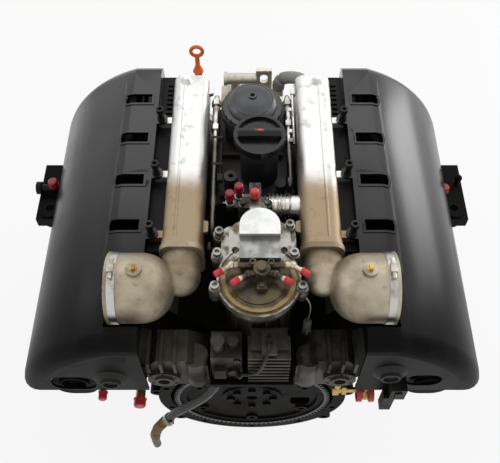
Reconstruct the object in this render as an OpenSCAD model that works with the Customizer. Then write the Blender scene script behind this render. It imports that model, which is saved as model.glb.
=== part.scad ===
// Ten-cylinder V diesel engine, dressed as a complete unit without its gearbox.
// X runs across the engine, +Y away from the gearbox, +Z up. The origin is on the crank axis, at the
// face of the crankshaft flange that carries the drive plate. All sizes are in millimetres.

/* [Crankcase] */
// Spacing of the cylinders along a bank
bore_pitch = 88; // [87:0.5:90]
// Distance from the crank axis to the cylinder deck, along a bank
deck_height = 230; // [226:1:236]
// Depth of the sump floor below the crank axis
sump_depth = 230; // [215:5:250]
// Half of the piston stroke, which is the throw of the crank
crank_throw = 47.75; // [44:0.25:50]

/* [Side covers] */
// Radius of the rounded outer side of a cover
cover_radius = 235; // [230:1:238]
// Height of the flat top of a cover above the crank axis
cover_top = 330; // [328:1:332]
// Wall thickness of a cover
cover_wall = 4; // [3:0.5:5]
// Radius of the rounded rim at both ends of a cover
cover_rim = 28; // [20:1:32]
// Length of one slot, across the engine
slot_length = 46; // [40:1:52]
// Width of one slot, along the engine
slot_width = 20; // [16:1:24]

/* [Intake] */
// Width of an intake tube
tube_width = 60; // [56:1:62]
// Height of an intake tube
tube_height = 70; // [64:1:72]
// Largest radius of an intake elbow
elbow_radius = 51; // [50:0.5:51]

/* [Filter and filler] */
// Diameter of the oil filter cap
filter_cap_d = 100; // [96:0.5:100]
// Diameter of the rim of the oil filler cap
filler_cap_d = 82; // [79:0.5:82]

/* [Pump] */
// Diameter of the round rim of the pump
pump_rim_d = 122; // [118:1:124]

/* [Near end] */
// Radius of the round bell housing
bell_radius = 168; // [164:1:172]

/* [Hidden] */
$fn = 64;

bays = 5;
wall_width = 28;                                  // thickness of a main bearing wall
block_near = 44;                                  // near face of the crankcase
block_far = block_near + bays * bore_pitch + wall_width;
crank_room = 88;                                  // radius of the space the crank turns in
main_r = 30;                                      // main journal
shell_r = 32.5;                                   // bore of a main bearing wall
fit = 0.05;                                       // radial play of a running fit
bank_half = 58;                                   // half width of a cylinder bank
head_tall = 100;
head_half = 60;
flange_half = 140;                                // half width of the crankcase foot flange
valley_floor = 112;
valley_half = 30;

gear_module = 3;
crank_teeth = 24;
idler_teeth = 54;
cam_teeth = 48;
crank_gear_r = gear_module * crank_teeth / 2;
idler_r = gear_module * idler_teeth / 2;
cam_gear_r = gear_module * cam_teeth / 2;
// the idlers stand just clear of each other, and the camshafts lie over the middle of the banks
idler_x = idler_r + 4;
idler_z = sqrt(pow(crank_gear_r + idler_r, 2) - pow(idler_x, 2));
idler_to_cam = idler_r + cam_gear_r;
idler_sum = idler_x + idler_z;
cam_side = (idler_sum + sqrt(idler_sum * idler_sum
    - 2 * (idler_x * idler_x + idler_z * idler_z - idler_to_cam * idler_to_cam))) / 2;
cam_at = cam_side * sqrt(2);                      // along a bank
gear_near = 18;
gear_far = 34;
cam_bore = 24;

cover_near = -55;
cover_far = 504;
cover_inner = 162;                                // x of the inner edge of a cover
cover_low = 165;                                  // z of the lower edge of a cover
arc_x = 136;
arc_z = 106.5;
slot_inner = 174;
first_slot = 60;

tube_x = 104;
tube_z = 326;
tube_near = 96;
tube_far = 438;
tube_wall = 5;
lug_z = cover_top - cover_wall;                   // top face of the lugs, under the covers
lug_places = [134, 250, 366];
lug_bolt_x = 155;
lug_thick = 12;
runner_first = 117;
runner_pitch = 76;

elbow_y = 36;
elbow_z = 334;
mouth_x = 206;
flap_x = 164;
flap_r = 40;
flap_bore = 41.5;

filter_at = [1, 371];
filler_at = [12, 278.5];
bowl_top = 350;
neck_top = 378;

pump_at = [10, 44];
pump_foot = 196;                                  // top of the shelf that the pump stands on
pump_plate = 335;
pump_rim_top = 348;
pad_top = 388;
pump_bolt_places = [[-53, 29], [-51, 84], [-49, 121], [57, 134], [62, 84], [72, 29]];
distributor_at = [14, 54];
stub_angle = 214;
stub_long = 19;
stub_places = [[-43, 2], [-19, -12], [19, -12], [43, 2]];
stub_z = 366;

pipe_x = 61;
pipe_r = 4.5;
pipe_z = 334;
pipe_near = 137;

dipstick_at = [-95, 466];
stick_seat = 190;

near_front = -55;                                 // near faces of the castings over the bell

// ---------------------------------------------------------------- helpers
// A profile drawn in X and Z, between two places along Y
module slab_y(y0, y1) {
    translate([0, y1, 0]) rotate([90, 0, 0]) linear_extrude(y1 - y0) children();
}

// A profile drawn in Y and Z, between two places along X
module slab_x(x0, x1) {
    translate([x0, 0, 0]) rotate([90, 0, 90]) linear_extrude(x1 - x0) children();
}

module turn_y() { rotate([-90, 0, 0]) children(); }

module turn_x() { rotate([0, 90, 0]) children(); }

// side is 1 for the right-hand bank and -1 for the left-hand one
module side(s) {
    if (s > 0) children();
    else mirror([1, 0, 0]) children();
}

module both_sides() {
    children();
    mirror([1, 0, 0]) children();
}

// Frame of a bank: local z along the cylinders, local x outward over the deck
module bank(s) { side(s) rotate([0, 45, 0]) children(); }

module round_rect(w, h, r) {
    square([w - 2 * r, h], center = true);
    square([w, h - 2 * r], center = true);
    for (x = [-1, 1], y = [-1, 1]) translate([x * (w / 2 - r), y * (h / 2 - r)]) circle(r);
}

module tube_of(outer, inner, length) {
    difference() {
        cylinder(h = length, r = outer);
        translate([0, 0, -1]) cylinder(h = length + 2, r = inner);
    }
}

module ring_xz(outer, inner, y0, y1) {
    slab_y(y0, y1) difference() {
        circle(outer);
        circle(inner);
    }
}

// Socket-head bolt standing on z = 0, with its socket
module socket_bolt(head_d, head_h, shank_d = 0, shank = 0) {
    difference() {
        cylinder(h = head_h, d = head_d);
        translate([0, 0, head_h * 0.45]) cylinder(h = head_h, d = head_d * 0.62, $fn = 6);
    }
    if (shank > 0) translate([0, 0, -shank]) cylinder(h = shank, d = shank_d);
}

// Skins rings of equal length into one closed solid; the rings run clockwise seen along the way
module skin(rings) {
    n = len(rings[0]);
    m = len(rings);
    polyhedron(
        points = [for (r = rings) each r],
        faces = concat(
            [[for (i = [0 : n - 1]) i]],
            [for (j = [0 : m - 2], i = [0 : n - 1])
                [j * n + i, (j + 1) * n + i, (j + 1) * n + (i + 1) % n, j * n + (i + 1) % n]],
            [[for (i = [n - 1 : -1 : 0]) (m - 1) * n + i]]
        ),
        convexity = 6
    );
}

// Round hose along a list of points, with the ring turned square to the way at each point
function unit(v) = v / norm(v);
function way(p, i) = unit(p[min(i + 1, len(p) - 1)] - p[max(i - 1, 0)]);
function hose_ring(c, t, r, n) =
    let (a = unit(cross(t, abs(t[0]) < 0.8 ? [1, 0, 0] : [0, 1, 0])), b = cross(t, a))
    [for (k = [0 : n - 1]) c + r * (cos(360 * k / n) * a + sin(360 * k / n) * b)];
module hose(points, r, n = 12) {
    skin([for (i = [0 : len(points) - 1]) hose_ring(points[i], way(points, i), r, n)]);
}

// Smooth way through control points, by a Catmull-Rom spline
function spline_at(a, b, c, d, t) =
    0.5 * (2 * b + (c - a) * t + (2 * a - 5 * b + 4 * c - d) * t * t
        + (3 * b - a - 3 * c + d) * t * t * t);
function spline(p, steps) = [
    for (i = [0 : len(p) - 2], k = [0 : steps - 1])
        spline_at(p[max(i - 1, 0)], p[i], p[i + 1], p[min(i + 2, len(p) - 1)], k / steps),
    p[len(p) - 1]
];

// Spur gear outline: straight-flanked teeth with play, the first one centred at the angle given
function tooth_half(width, drop, radius) = asin((width / 2 - drop * tan(20)) / (radius + drop));
function gear_points(teeth, first, m) =
    let (
        r = m * teeth / 2,
        width = m * PI / 2 - 0.25 * m,
        up = 0.8 * m,
        down = 1.1 * m,
        foot = tooth_half(width, -down, r),
        tip = tooth_half(width, up, r)
    )
    [for (k = [0 : teeth - 1], c = [[-foot, -down], [-tip, up], [tip, up], [foot, -down]])
        let (a = first + k * 360 / teeth + c[0]) (r + c[1]) * [cos(a), sin(a)]];

// Direction of a gap of a gear that meshes at the angle at with one whose first tooth is known
function mesh_first(at, first, teeth, own_teeth) =
    let (past = (first - at) - 360 / teeth * round((first - at) * teeth / 360))
    at + 180 - past * teeth / own_teeth + 180 / own_teeth;
crank_first = 90;
idler_dir = atan2(idler_z, idler_x);
idler_first = mesh_first(idler_dir, crank_first, crank_teeth, idler_teeth);
cam_dir = atan2(cam_side - idler_z, cam_side - idler_x);
cam_first = mesh_first(cam_dir, idler_first, idler_teeth, cam_teeth);

// ---------------------------------------------------------------- core of the engine
module crank_bays(low, high) {
    for (k = [0 : bays - 1])
        intersection() {
            slab_y(block_near + wall_width + k * bore_pitch, block_near + (k + 1) * bore_pitch)
                circle(crank_room);
            translate([-crank_room, block_near, low])
                cube([2 * crank_room, block_far - block_near, high - low]);
        }
}

function along_bank(u, v) = [(u + v) / sqrt(2), (u - v) / sqrt(2)];

module block_profile() {
    outer = along_bank(deck_height, bank_half);
    inner = along_bank(deck_height, -bank_half);
    hip = outer[1] - 78;
    right = [
        [flange_half, 0], [flange_half, 16], [outer[0] - 78, 16], [outer[0] - 78, hip], outer, inner,
        [valley_half, valley_floor]
    ];
    polygon(concat(right, [for (i = [len(right) - 1 : -1 : 0]) [-right[i][0], right[i][1]]]));
}

module crankcase() {
    color("dimgray") difference() {
        union() {
            slab_y(block_near, block_far) block_profile();
            // a stiffening rib on each side at every main bearing wall
            for (k = [0 : bays])
                translate([0, block_near + 8 + k * bore_pitch, 0]) both_sides()
                    slab_y(0, 12) polygon([[120, 16], [136, 16], [152, 70], [125, 43]]);
            translate([dipstick_at[0], dipstick_at[1], stick_seat - 60]) cylinder(h = 60, r = 12);
        }
        crank_bays(-1, crank_room + 1);
        translate([0, block_near - 1, 0]) turn_y() cylinder(h = block_far, r = shell_r);
        translate([dipstick_at[0], dipstick_at[1], -1]) cylinder(h = stick_seat + 2, r = 3.4);
    }
}

module bedplate() {
    color("slategray") difference() {
        union() {
            slab_y(block_near, block_far)
                polygon([[-flange_half, 0], [-flange_half, -16], [-120, -16], [-120, -50], [-132, -50],
                    [-132, -62], [132, -62], [132, -50], [120, -50], [120, -16], [flange_half, -16],
                    [flange_half, 0]]);
        }
        crank_bays(-crank_room - 1, 1);
        translate([0, block_near - 1, 0]) turn_y() cylinder(h = block_far, r = shell_r);
        translate([dipstick_at[0], dipstick_at[1], -80]) cylinder(h = 100, r = 3.4);
    }
}

sump_half = 112;
module sump_form(inset) {
    low = -sump_depth + inset;
    corner = 34 - inset;
    half = sump_half - inset;
    intersection() {
        slab_y(block_near + inset, block_far - inset) union() {
            translate([-half, low + corner]) square([2 * half, -62 - low - corner]);
            translate([-half + corner, low]) square([2 * (half - corner), corner + 1]);
            for (x = [-1, 1]) translate([x * (half - corner), low + corner]) circle(corner);
        }
        slab_x(-half - 1, half + 1)
            polygon([[block_near + 4 + inset, -60], [block_far - 4 - inset, -60],
                [block_far - 40 - inset, -130], [block_far - 70 - inset, low - 1],
                [block_near + 40 + inset, low - 1], [block_near + 12 + inset, -150]]);
    }
}

module sump() {
    color("silver") difference() {
        union() {
            sump_form(0);
            slab_y(block_near, block_far) translate([-132, -74]) square([264, 12]);
            // cooling ribs along the floor's sides
            for (y = [block_near + 110 : 46 : block_far - 110])
                translate([-sump_half - 5, y, -176]) cube([2 * sump_half + 10, 6, 104]);
        }
        intersection() {
            sump_form(6);
            translate([-200, 0, -300]) cube([400, 700, 232]);
        }
        slab_y(block_near + 14, block_far - 14) translate([-sump_half + 6, -90])
            square([2 * sump_half - 12, 40]);
        translate([sump_half - 20, 300, -196]) turn_x() cylinder(h = 40, r = 9);
    }
}

module drain_plug() {
    color("goldenrod") translate([sump_half, 300, -196]) turn_x() {
        cylinder(h = 3, r = 15);
        translate([0, 0, 3]) cylinder(h = 9, d = 24, $fn = 6);
        translate([0, 0, -14]) cylinder(h = 14, r = 9);
    }
}

module main_bearings() {
    color("lightgray") for (k = [0 : bays])
        difference() {
            translate([0, block_near + 3 + k * bore_pitch, 0])
                ring_xz(shell_r, main_r + fit, 0, wall_width - 6);
            // the two half shells meet in the plane of the crank axis
            translate([-50, block_near + k * bore_pitch, -0.1]) cube([100, wall_width, 0.2]);
        }
}

head_far = 496;
module housing_outline(grow) {
    circle(bell_radius + grow - 6);
    both_sides() {
        translate([idler_x, idler_z]) circle(idler_r + 13 + grow);
        translate([cam_side, cam_side]) circle(cam_gear_r + 10 + grow);
        translate([idler_x, idler_z]) rotate(cam_dir - 90)
            translate([-cam_gear_r - 7, 0]) square([2 * cam_gear_r + 14, idler_to_cam]);
    }
}

bell_front = -10;
bell_recess = 146;
bell_bolts = 10;
bell_bolt_r = 157;

module gear_housing() {
    color("darkslategray") difference() {
        union() {
            slab_y(4, block_near) housing_outline(0);
            slab_y(bell_front, 6) circle(bell_radius);
            // shelf over the bell, with the end stubs of the coolant passages on each side
        translate([-64, -58, pump_foot - 10]) cube([128, 66, 10]);
        both_sides() slab_y(-44, 6) translate([282, 160]) round_rect(66, 80, 26);
        both_sides() slab_y(-47, -43) translate([281, 168]) circle(24);
        // dowel lugs of the bell
            for (a = [10, 170, 216, 324])
                slab_y(bell_front, 8) rotate(a) translate([bell_radius + 2, 0]) {
                    circle(13);
                    translate([-20, -12]) square([20, 24]);
                }
            // foot of the pump
            translate([-58, 5, 110]) cube([136, block_near - 5, pump_foot - 110]);
        }
        slab_y(bell_front - 1, 4) circle(bell_recess);
        // gear room, closed by the web in front of it
        slab_y(12, 38) {
            circle(crank_gear_r + 14);
            both_sides() {
                translate([idler_x, idler_z]) circle(idler_r + 6);
                translate([cam_side, cam_side]) circle(cam_gear_r + 5);
            }
        }
        both_sides() bank(1) translate([0, 30, cam_at]) turn_y() cylinder(h = 30, r = cam_bore + 2);
        both_sides() slab_y(-48, -38) translate([281, 168]) circle(19);
        translate([0, -30, 0]) turn_y() cylinder(h = 100, r = 48 + 1);
        for (k = [0 : bell_bolts - 1]) slab_y(bell_front - 1, 9) rotate((k + 0.5) * 360 / bell_bolts)
            translate([bell_bolt_r, 0]) circle(5.25);
        for (a = [10, 170, 216, 324])
            slab_y(bell_front - 1, 20) rotate(a) translate([bell_radius + 4, 0]) circle(6);
        // windows low in the web, between its spokes
        for (a = [222, 258, 282, 318])
            slab_y(3, 13) rotate(a) translate([108, 0]) round_rect(44, 30, 8);
    }
    // idler pins, cast on the web
    color("darkslategray") both_sides()
        slab_y(10, 39) translate([idler_x, idler_z]) circle(14);
}

module front_cover() {
    color("darkgray") difference() {
        union() {
            slab_y(block_far, block_far + 14) intersection() {
                block_profile();
                translate([-300, 0]) square([600, 200]);
            }
            slab_y(block_far, block_far + 14) translate([-132, -62]) square([264, 62]);
            slab_y(block_far, block_far + 22) circle(58);
            // a coolant housing low in the valley and a rib to each bank
            slab_y(block_far + 14, block_far + 34) translate([0, 92]) circle(30);
            both_sides() slab_y(block_far + 14, block_far + 20)
                polygon([[20, 70], [32, 60], [168, 150], [156, 165]]);
        }
        translate([0, block_far - 1, 0]) turn_y() cylinder(h = 40, r = main_r + 0.4);
        translate([0, block_far + 16, 92]) turn_y() cylinder(h = 30, r = 21);
    }
}

runner_z = deck_height + 62;
function exhaust_y(k) = block_near + wall_width + (k + 0.34) * bore_pitch;

module head(s) {
    color("gray") bank(s) difference() {
        union() {
            translate([-head_half, block_near, deck_height])
                cube([2 * head_half, head_far - block_near, head_tall]);
            // exhaust bosses on the outer wall, intake bosses on the inner one
            for (k = [0 : bays - 1]) {
                translate([head_half, exhaust_y(k), deck_height + 40]) turn_x() cylinder(h = 6, r = 27);
                translate([-head_half - 6, runner_first + k * runner_pitch, runner_z]) turn_x()
                    cylinder(h = 6, r = 20);
            }
        }
        translate([0, block_near - 1, cam_at]) turn_y()
            cylinder(h = head_far - block_near - 7, r = cam_bore);
    }
}

module cam_covers() {
    low = deck_height + head_tall;
    near = block_near + 12;
    color("black") both_sides() bank(1) {
        difference() {
            slab_y(near, head_far - 2) {
                translate([-head_half + 8, low]) square([2 * head_half - 16, 8]);
                translate([-34, low]) square([76, 40]);
                translate([-42, low]) square([90, 30]);
            }
            slab_y(near + 6, head_far - 8) translate([-30, low - 1]) square([66, 34]);
        }
        // five plugs for the injector wiring along the ridge
        for (k = [0 : bays - 1])
            translate([4, block_near + 58 + k * 84, low + 40]) cylinder(h = 5, r = 13);
    }
}

// ---------------------------------------------------------------- side covers
// Section of a cover, drawn in by d all along its top and its round side
function cover_section(d, inner, low) = concat(
    [[inner, low], [inner, cover_top - d]],
    [for (i = [0 : 14]) let (
            top = asin((cover_top - arc_z - d) / (cover_radius - d)),
            bottom = asin((low - arc_z) / (cover_radius - d)),
            a = top + (bottom - top) * i / 14)
        [arc_x + (cover_radius - d) * cos(a), arc_z + (cover_radius - d) * sin(a)]]
);

// Solid of a cover with a rounded rim at both ends
module cover_solid(d, near, far, rim, inner, low) {
    steps = 5;
    turns = [for (i = [0 : steps]) 90 * i / steps];
    stations = concat(
        [for (a = turns) [near + rim * (1 - cos(a)), d + rim * (1 - sin(a))]],
        [for (i = [steps : -1 : 0]) [far - rim * (1 - cos(turns[i])), d + rim * (1 - sin(turns[i]))]]
    );
    skin([for (s = stations) [for (p = cover_section(s[1], inner, low)) [p[0], s[0], p[1]]]]);
}

module slot_form(length, width) {
    square_end = length * 0.45;
    translate([0, -width / 2]) square([square_end, width]);
    translate([square_end, 0]) intersection() {
        scale([1, 1]) circle(r = length - square_end);
        translate([0, -width / 2]) square([length, width]);
    }
}

plug_x = [-214, 206];
plug_z = [214, 238];

module side_cover(s) {
    w = cover_wall;
    plug = s < 0 ? 0 : 1;
    color([0.07, 0.07, 0.08]) side(s) difference() {
        union() {
            difference() {
                cover_solid(0, cover_near, cover_far, cover_rim, cover_inner, cover_low);
                cover_solid(w, cover_near + w, cover_far - w, cover_rim - w, cover_inner + w, cover_low - 30);
                // below its lip the inner side is open
                translate([cover_inner - 20, cover_near + w, cover_low - 20])
                    cube([50, cover_far - cover_near - 2 * w, 147]);
            }
            // tabs on the lugs of the intake tube
            for (y = lug_places) translate([lug_bolt_x, y, cover_top - w]) {
                cylinder(h = w, r = 11);
                translate([0, -11, 0]) cube([cover_inner - lug_bolt_x + 4, 22, w]);
            }
            // raised rim round each slot
            intersection() {
                difference() {
                    cover_solid(-1.4, cover_near, cover_far, cover_rim, cover_inner, cover_low);
                    cover_solid(w, cover_near + w, cover_far - w, cover_rim - w, cover_inner, cover_low);
                }
                for (k = [0 : bays - 1])
                    translate([slot_inner - 4, first_slot + k * bore_pitch, 250]) linear_extrude(90)
                        slot_form(slot_length + 8, slot_width + 8);
            }
        }
        for (k = [0 : bays - 1])
            translate([slot_inner, first_slot + k * bore_pitch, 200]) linear_extrude(200)
                slot_form(slot_length, slot_width);
        // round plug hole and oval opening in the near end
        translate([abs(plug_x[plug]), cover_near - 1, plug_z[plug]]) turn_y() cylinder(h = 20, r = 20);
        slab_y(cover_near - 1, cover_near + 20) translate([s < 0 ? 275 : 262, s < 0 ? 194 : 206])
            round_rect(s < 0 ? 68 : 56, s < 0 ? 50 : 42, 20);
        // saddle round the intake elbow, and holes for the lug bolts
        translate([140, elbow_y, elbow_z]) turn_x() cylinder(h = mouth_x + 4 - 140, r = elbow_radius + 9);
        for (y = lug_places) translate([lug_bolt_x, y, 300]) cylinder(h = 60, r = 4.5);
    }
}

module cover_plugs() {
    color([0.05, 0.05, 0.05]) for (i = [0, 1])
        translate([plug_x[i], cover_near, plug_z[i]]) turn_y() {
            translate([0, 0, -7]) cylinder(h = 7, r1 = 19, r2 = 27);
            translate([0, 0, -11]) tube_of(15, 11, 5);
            cylinder(h = 6, r = 19.8);
        }
}

module cover_strips() {
    near = tube_near + 14;
    inner = tube_x + tube_width / 2;
    color([0.1, 0.1, 0.1]) both_sides() difference() {
        translate([inner, near, lug_z - lug_thick - 6]) cube([cover_inner - inner - 0.4, 370, 6]);
        // comb of notches at the far end
        for (k = [0 : 7]) translate([inner + 6, 378 + k * 11, 290]) cube([10, 5, 40]);
    }
}

// ---------------------------------------------------------------- intake and exhaust
module intake_tube(s) {
    half_h = tube_height / 2;
    color("silver") side(s) difference() {
        union() {
            slab_y(tube_near, tube_far) translate([tube_x, tube_z]) round_rect(tube_width, tube_height, 16);
            // runners to the head, square to its inner wall
            for (k = [0 : bays - 1]) intersection() {
                bank(1) translate([-head_half - 76, runner_first + k * runner_pitch, runner_z])
                    turn_x() cylinder(h = 70, r = 17);
                translate([0, 0, 190]) cube([260, 600, tube_z - 190]);
            }
            // lugs for the cover bolts, and small ears on the inner side
            for (y = lug_places) translate([lug_bolt_x, y, lug_z - lug_thick]) {
                cylinder(h = lug_thick, r = cover_inner - lug_bolt_x - 0.5);
                translate([-40, -cover_inner + lug_bolt_x + 0.5, 0])
                    cube([40, 2 * (cover_inner - lug_bolt_x) - 1, lug_thick]);
            }
            for (y = [141, 428]) translate([tube_x - tube_width / 2, y, tube_z + 4]) intersection() {
                cylinder(h = 7, r = 11);
                translate([-7, -20, -1]) cube([27, 40, 20]);
            }
            // cast bead along the top, and a bump at the far end
            slab_y(tube_near, tube_far) translate([tube_x + 10, tube_z + half_h - 1]) circle(2.5);
            translate([tube_x + 8, tube_far - 14, tube_z + half_h - 3]) cylinder(h = 12, r1 = 12, r2 = 5);
            // flange to the elbow
            slab_y(tube_near, tube_near + 9) translate([tube_x, tube_z])
                round_rect(tube_width + 1, tube_height + 10, 18);
        }
        slab_y(tube_near - 1, tube_far - tube_wall) translate([tube_x, tube_z])
            round_rect(tube_width - 2 * tube_wall, tube_height - 2 * tube_wall, 11);
        for (y = lug_places) translate([lug_bolt_x, y, 290]) cylinder(h = 60, r = 4);
    }
}

// Barrel of an elbow turned about the mouth's axis: rounded end, straight belly, cone down to the mouth
// Throat of the elbow: a rounded blind end, then a straight bore as far as the mouth
module elbow_body(d, closed_at, mouth) {
    belly = elbow_radius - d;
    long = mouth - closed_at;
    round = belly - 4;
    translate([closed_at, elbow_y, elbow_z]) turn_x() rotate_extrude() {
        translate([0, round]) square([belly, long - round]);
        intersection() {
            translate([belly - round, round]) circle(round);
            square([belly, round]);
        }
        square([belly - round, round]);
    }
}

module intake_elbow(s) {
    color([0.62, 0.58, 0.52]) side(s) difference() {
        union() {
            elbow_body(0, 112, mouth_x);
            // rounded shoulder towards the tube, and the flange against it
            translate([tube_x + 1, 57, elbow_z - 3]) sphere(r = 30);
            slab_y(57, tube_near - 4) translate([tube_x + 1, elbow_z - 3]) circle(29);
            slab_y(tube_near - 9, tube_near) translate([tube_x, tube_z])
                round_rect(tube_width + 6, tube_height + 10, 20);
            // shaft bosses above and below, and a beaded mouth
            translate([flap_x, elbow_y, elbow_z - elbow_radius - 4])
                cylinder(h = 2 * elbow_radius + 10, r = 11);
            translate([mouth_x - 5, elbow_y, elbow_z]) turn_x() cylinder(h = 5, r = 53);
        }
        elbow_body(5, 117, flap_x);
        translate([flap_x - 6, elbow_y, elbow_z]) turn_x() cylinder(h = 60, r = flap_bore);
        translate([tube_x + 1, 57, elbow_z - 3]) sphere(r = 25.5);
        slab_y(60, tube_near + 1) translate([tube_x + 1, elbow_z - 3]) circle(24);
        translate([flap_x, elbow_y, elbow_z - elbow_radius]) cylinder(h = 140, r = 5 + fit);
    }
}

module clamp_bands() {
    color("lightgray") both_sides() translate([mouth_x - 16, elbow_y, elbow_z]) {
        turn_x() tube_of(52.6, 51, 11);
        translate([1, -7, 52]) cube([9, 14, 9]);
        translate([5.5, -16, 57]) turn_y() cylinder(h = 32, r = 3);
    }
}

module exhaust_manifold(s) {
    log_x = head_half + 52;
    port_z = deck_height + 40;
    // the outlet turns straight down at the near end
    out_x = (log_x + port_z) / sqrt(2);
    out_z = (port_z - log_x) / sqrt(2);
    out_y = 104;
    out_low = out_z - 56;
    color("sienna") side(s) difference() {
        union() {
            bank(1) {
                translate([log_x, 66, port_z]) turn_y() cylinder(h = 416, r = 25);
                for (k = [0 : bays - 1])
                    translate([head_half + 6, exhaust_y(k), port_z]) turn_x() {
                        cylinder(h = 8, r = 27);
                        cylinder(h = log_x - head_half - 6, r = 20);
                    }
            }
            translate([out_x, out_y, out_low]) cylinder(h = out_z - out_low, r = 25);
            translate([out_x, out_y, out_low]) cylinder(h = 10, r = 38);
        }
        translate([out_x, out_y, out_low - 1]) cylinder(h = 52, r = 21);
        for (a = [45 : 90 : 315]) translate([out_x, out_y, out_low - 1]) rotate(a)
            translate([31, 0, 0]) cylinder(h = 12, r = 4.2);
    }
}

module lug_bolts() {
    color([0.12, 0.12, 0.12]) both_sides() for (y = lug_places)
        translate([lug_bolt_x, y, cover_top]) {
            cylinder(h = 3, r = 6.8);
            translate([0, 0, 3]) cylinder(h = 13, r = 5);
            translate([0, 0, 16]) socket_bolt(13, 9);
            translate([0, 0, -lug_thick - 2]) cylinder(h = lug_thick + 2, r = 3.9);
        }
}

// ---------------------------------------------------------------- valley
deck_z = 290;
module filter_housing() {
    low = valley_floor;
    color([0.13, 0.13, 0.14]) difference() {
        union() {
            slab_y(216, 424) polygon([[-28, low], [28, low], [66, low + 38], [66, deck_z],
                [-66, deck_z], [-66, low + 38]]);
            translate([filter_at[0], filter_at[1], 200]) cylinder(h = bowl_top - 200, r = 48);
            translate([filter_at[0], filter_at[1], bowl_top - 12]) cylinder(h = 12, r = 53);
            translate([filler_at[0], filler_at[1], 250]) cylinder(h = neck_top - 250, r = 31);
            translate([filler_at[0], filler_at[1], neck_top - 8]) cylinder(h = 8, r = 36);
            // bosses beside the neck, ribs over the deck and saddles under the fuel pipes
            translate([-34, 236, 280]) cylinder(h = 60, r = 11);
            translate([46, 234, 280]) cylinder(h = 44, r = 9);
            for (y = [224, 310, 416]) translate([-52, y, deck_z - 4]) cube([104, 5, 16]);
            for (x = [-1, 1], y = [250, 367]) translate([x * 61 - 4.5, y - 8, deck_z - 2])
                cube([9, 16, pipe_z - pipe_r - deck_z + 2]);
        }
        translate([filter_at[0], filter_at[1], 190]) cylinder(h = 200, r = 43);
        translate([filler_at[0], filler_at[1], 262]) cylinder(h = 140, r = 24);
        translate([-34, 236, 300]) cylinder(h = 60, r = 4);
    }
}

scallops = 24;

module filter_cap() {
    r = filter_cap_d / 2;
    color([0.16, 0.16, 0.16]) translate([filter_at[0], filter_at[1], bowl_top]) {
        difference() {
            union() {
                rotate_extrude() polygon(concat(
                    [[0, 6], [38, 6], [38, -22], [42.4, -22], [42.4, 0], [r, 0], [r, 8], [r - 6, 10]],
                    [for (i = [0 : 14]) let (a = 90 * i / 14) [(r - 8) * cos(a), 10 + 20 * sin(a)]]
                ));
                // raised ring on the dome, and the drain boss in its middle
                rotate_extrude() translate([34, 21.5]) circle(1.3);
                translate([0, 0, 26]) cylinder(h = 6.5, r = 7);
            }
            for (k = [0 : scallops - 1]) rotate(k * 360 / scallops) translate([r + 1.6, 0, -1])
                cylinder(h = 14, r = 3);
            translate([0, 0, -1]) cylinder(h = 14, r = 12);
            translate([0, 0, 28]) cylinder(h = 8, r = 4);
        }
    }
}

module filter_element() {
    color("ivory") translate([filter_at[0], filter_at[1], 206]) difference() {
        union() {
            linear_extrude(118) polygon([for (k = [0 : 71]) let (a = k * 5, r = k % 2 == 0 ? 34 : 30)
                r * [cos(a), sin(a)]]);
            translate([0, 0, -3]) cylinder(h = 3, r = 35);
            translate([0, 0, 118]) cylinder(h = 4, r = 35);
            translate([0, 0, 122]) cylinder(h = 20, r = 9);
        }
        translate([0, 0, -4]) cylinder(h = 110, r = 12);
    }
}

module filler_seal() {
    color("black") translate([filler_at[0], filler_at[1], neck_top]) tube_of(34, 26, 3);
}

module filler_cap() {
    r = filler_cap_d / 2;
    h0 = neck_top + 3.3;
    color([0.08, 0.08, 0.08]) translate([filler_at[0], filler_at[1], h0]) {
        cylinder(h = 5, r = r - 3);
        translate([0, 0, -2]) tube_of(r, r - 5.5, 13);
        translate([0, 0, -30]) tube_of(23.4, 20, 31);
        // grip bar with a rounded top
        translate([5 - r, -8.5, 4]) cube([2 * (r - 5), 17, 8]);
        translate([7 - r, 0, 11.5]) turn_x() cylinder(h = 2 * (r - 7), r = 8.5);
    }
}

module bent_pipe(near, far) {
    bend = 12;
    drop = pipe_z - bend - deck_z;
    translate([0, near + bend, 0]) turn_y() cylinder(h = far - near - 2 * bend, r = pipe_r);
    for (end = [[near + bend, 180], [far - bend, 0]]) translate([0, end[0], -bend])
        rotate([0, 0, end[1]]) rotate([0, -90, 0]) rotate_extrude(angle = 90) translate([bend, 0])
            circle(pipe_r);
    for (y = [near, far]) translate([0, y, -bend - drop]) cylinder(h = drop, r = pipe_r);
}

module fuel_pipe_left() {
    color("lightgray") translate([-pipe_x, 0, pipe_z]) bent_pipe(pipe_near, 418);
}

module fuel_pipe_right() {
    color("lightgray") translate([pipe_x, 0, pipe_z]) {
        bent_pipe(226, 418);
        // the thin leak-off pipe is clipped to its outer side
        translate([8.4, 300, 6]) turn_y() cylinder(h = 110, r = 2.4);
        for (y = [306, 326, 374]) translate([0, y, 1]) cube([9, 7, 6]);
    }
}

module union_nuts() {
    color("goldenrod") for (p = [[-pipe_x, 334], [-pipe_x, 390], [pipe_x, 342], [pipe_x, 390]])
        translate([p[0], p[1], pipe_z]) turn_y() difference() {
            union() {
                cylinder(h = 11, d = 17, $fn = 6);
                translate([0, 0, 11]) cylinder(h = 4, r = 6.5);
            }
            translate([0, 0, -1]) cylinder(h = 20, r = pipe_r);
        }
}

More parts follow.
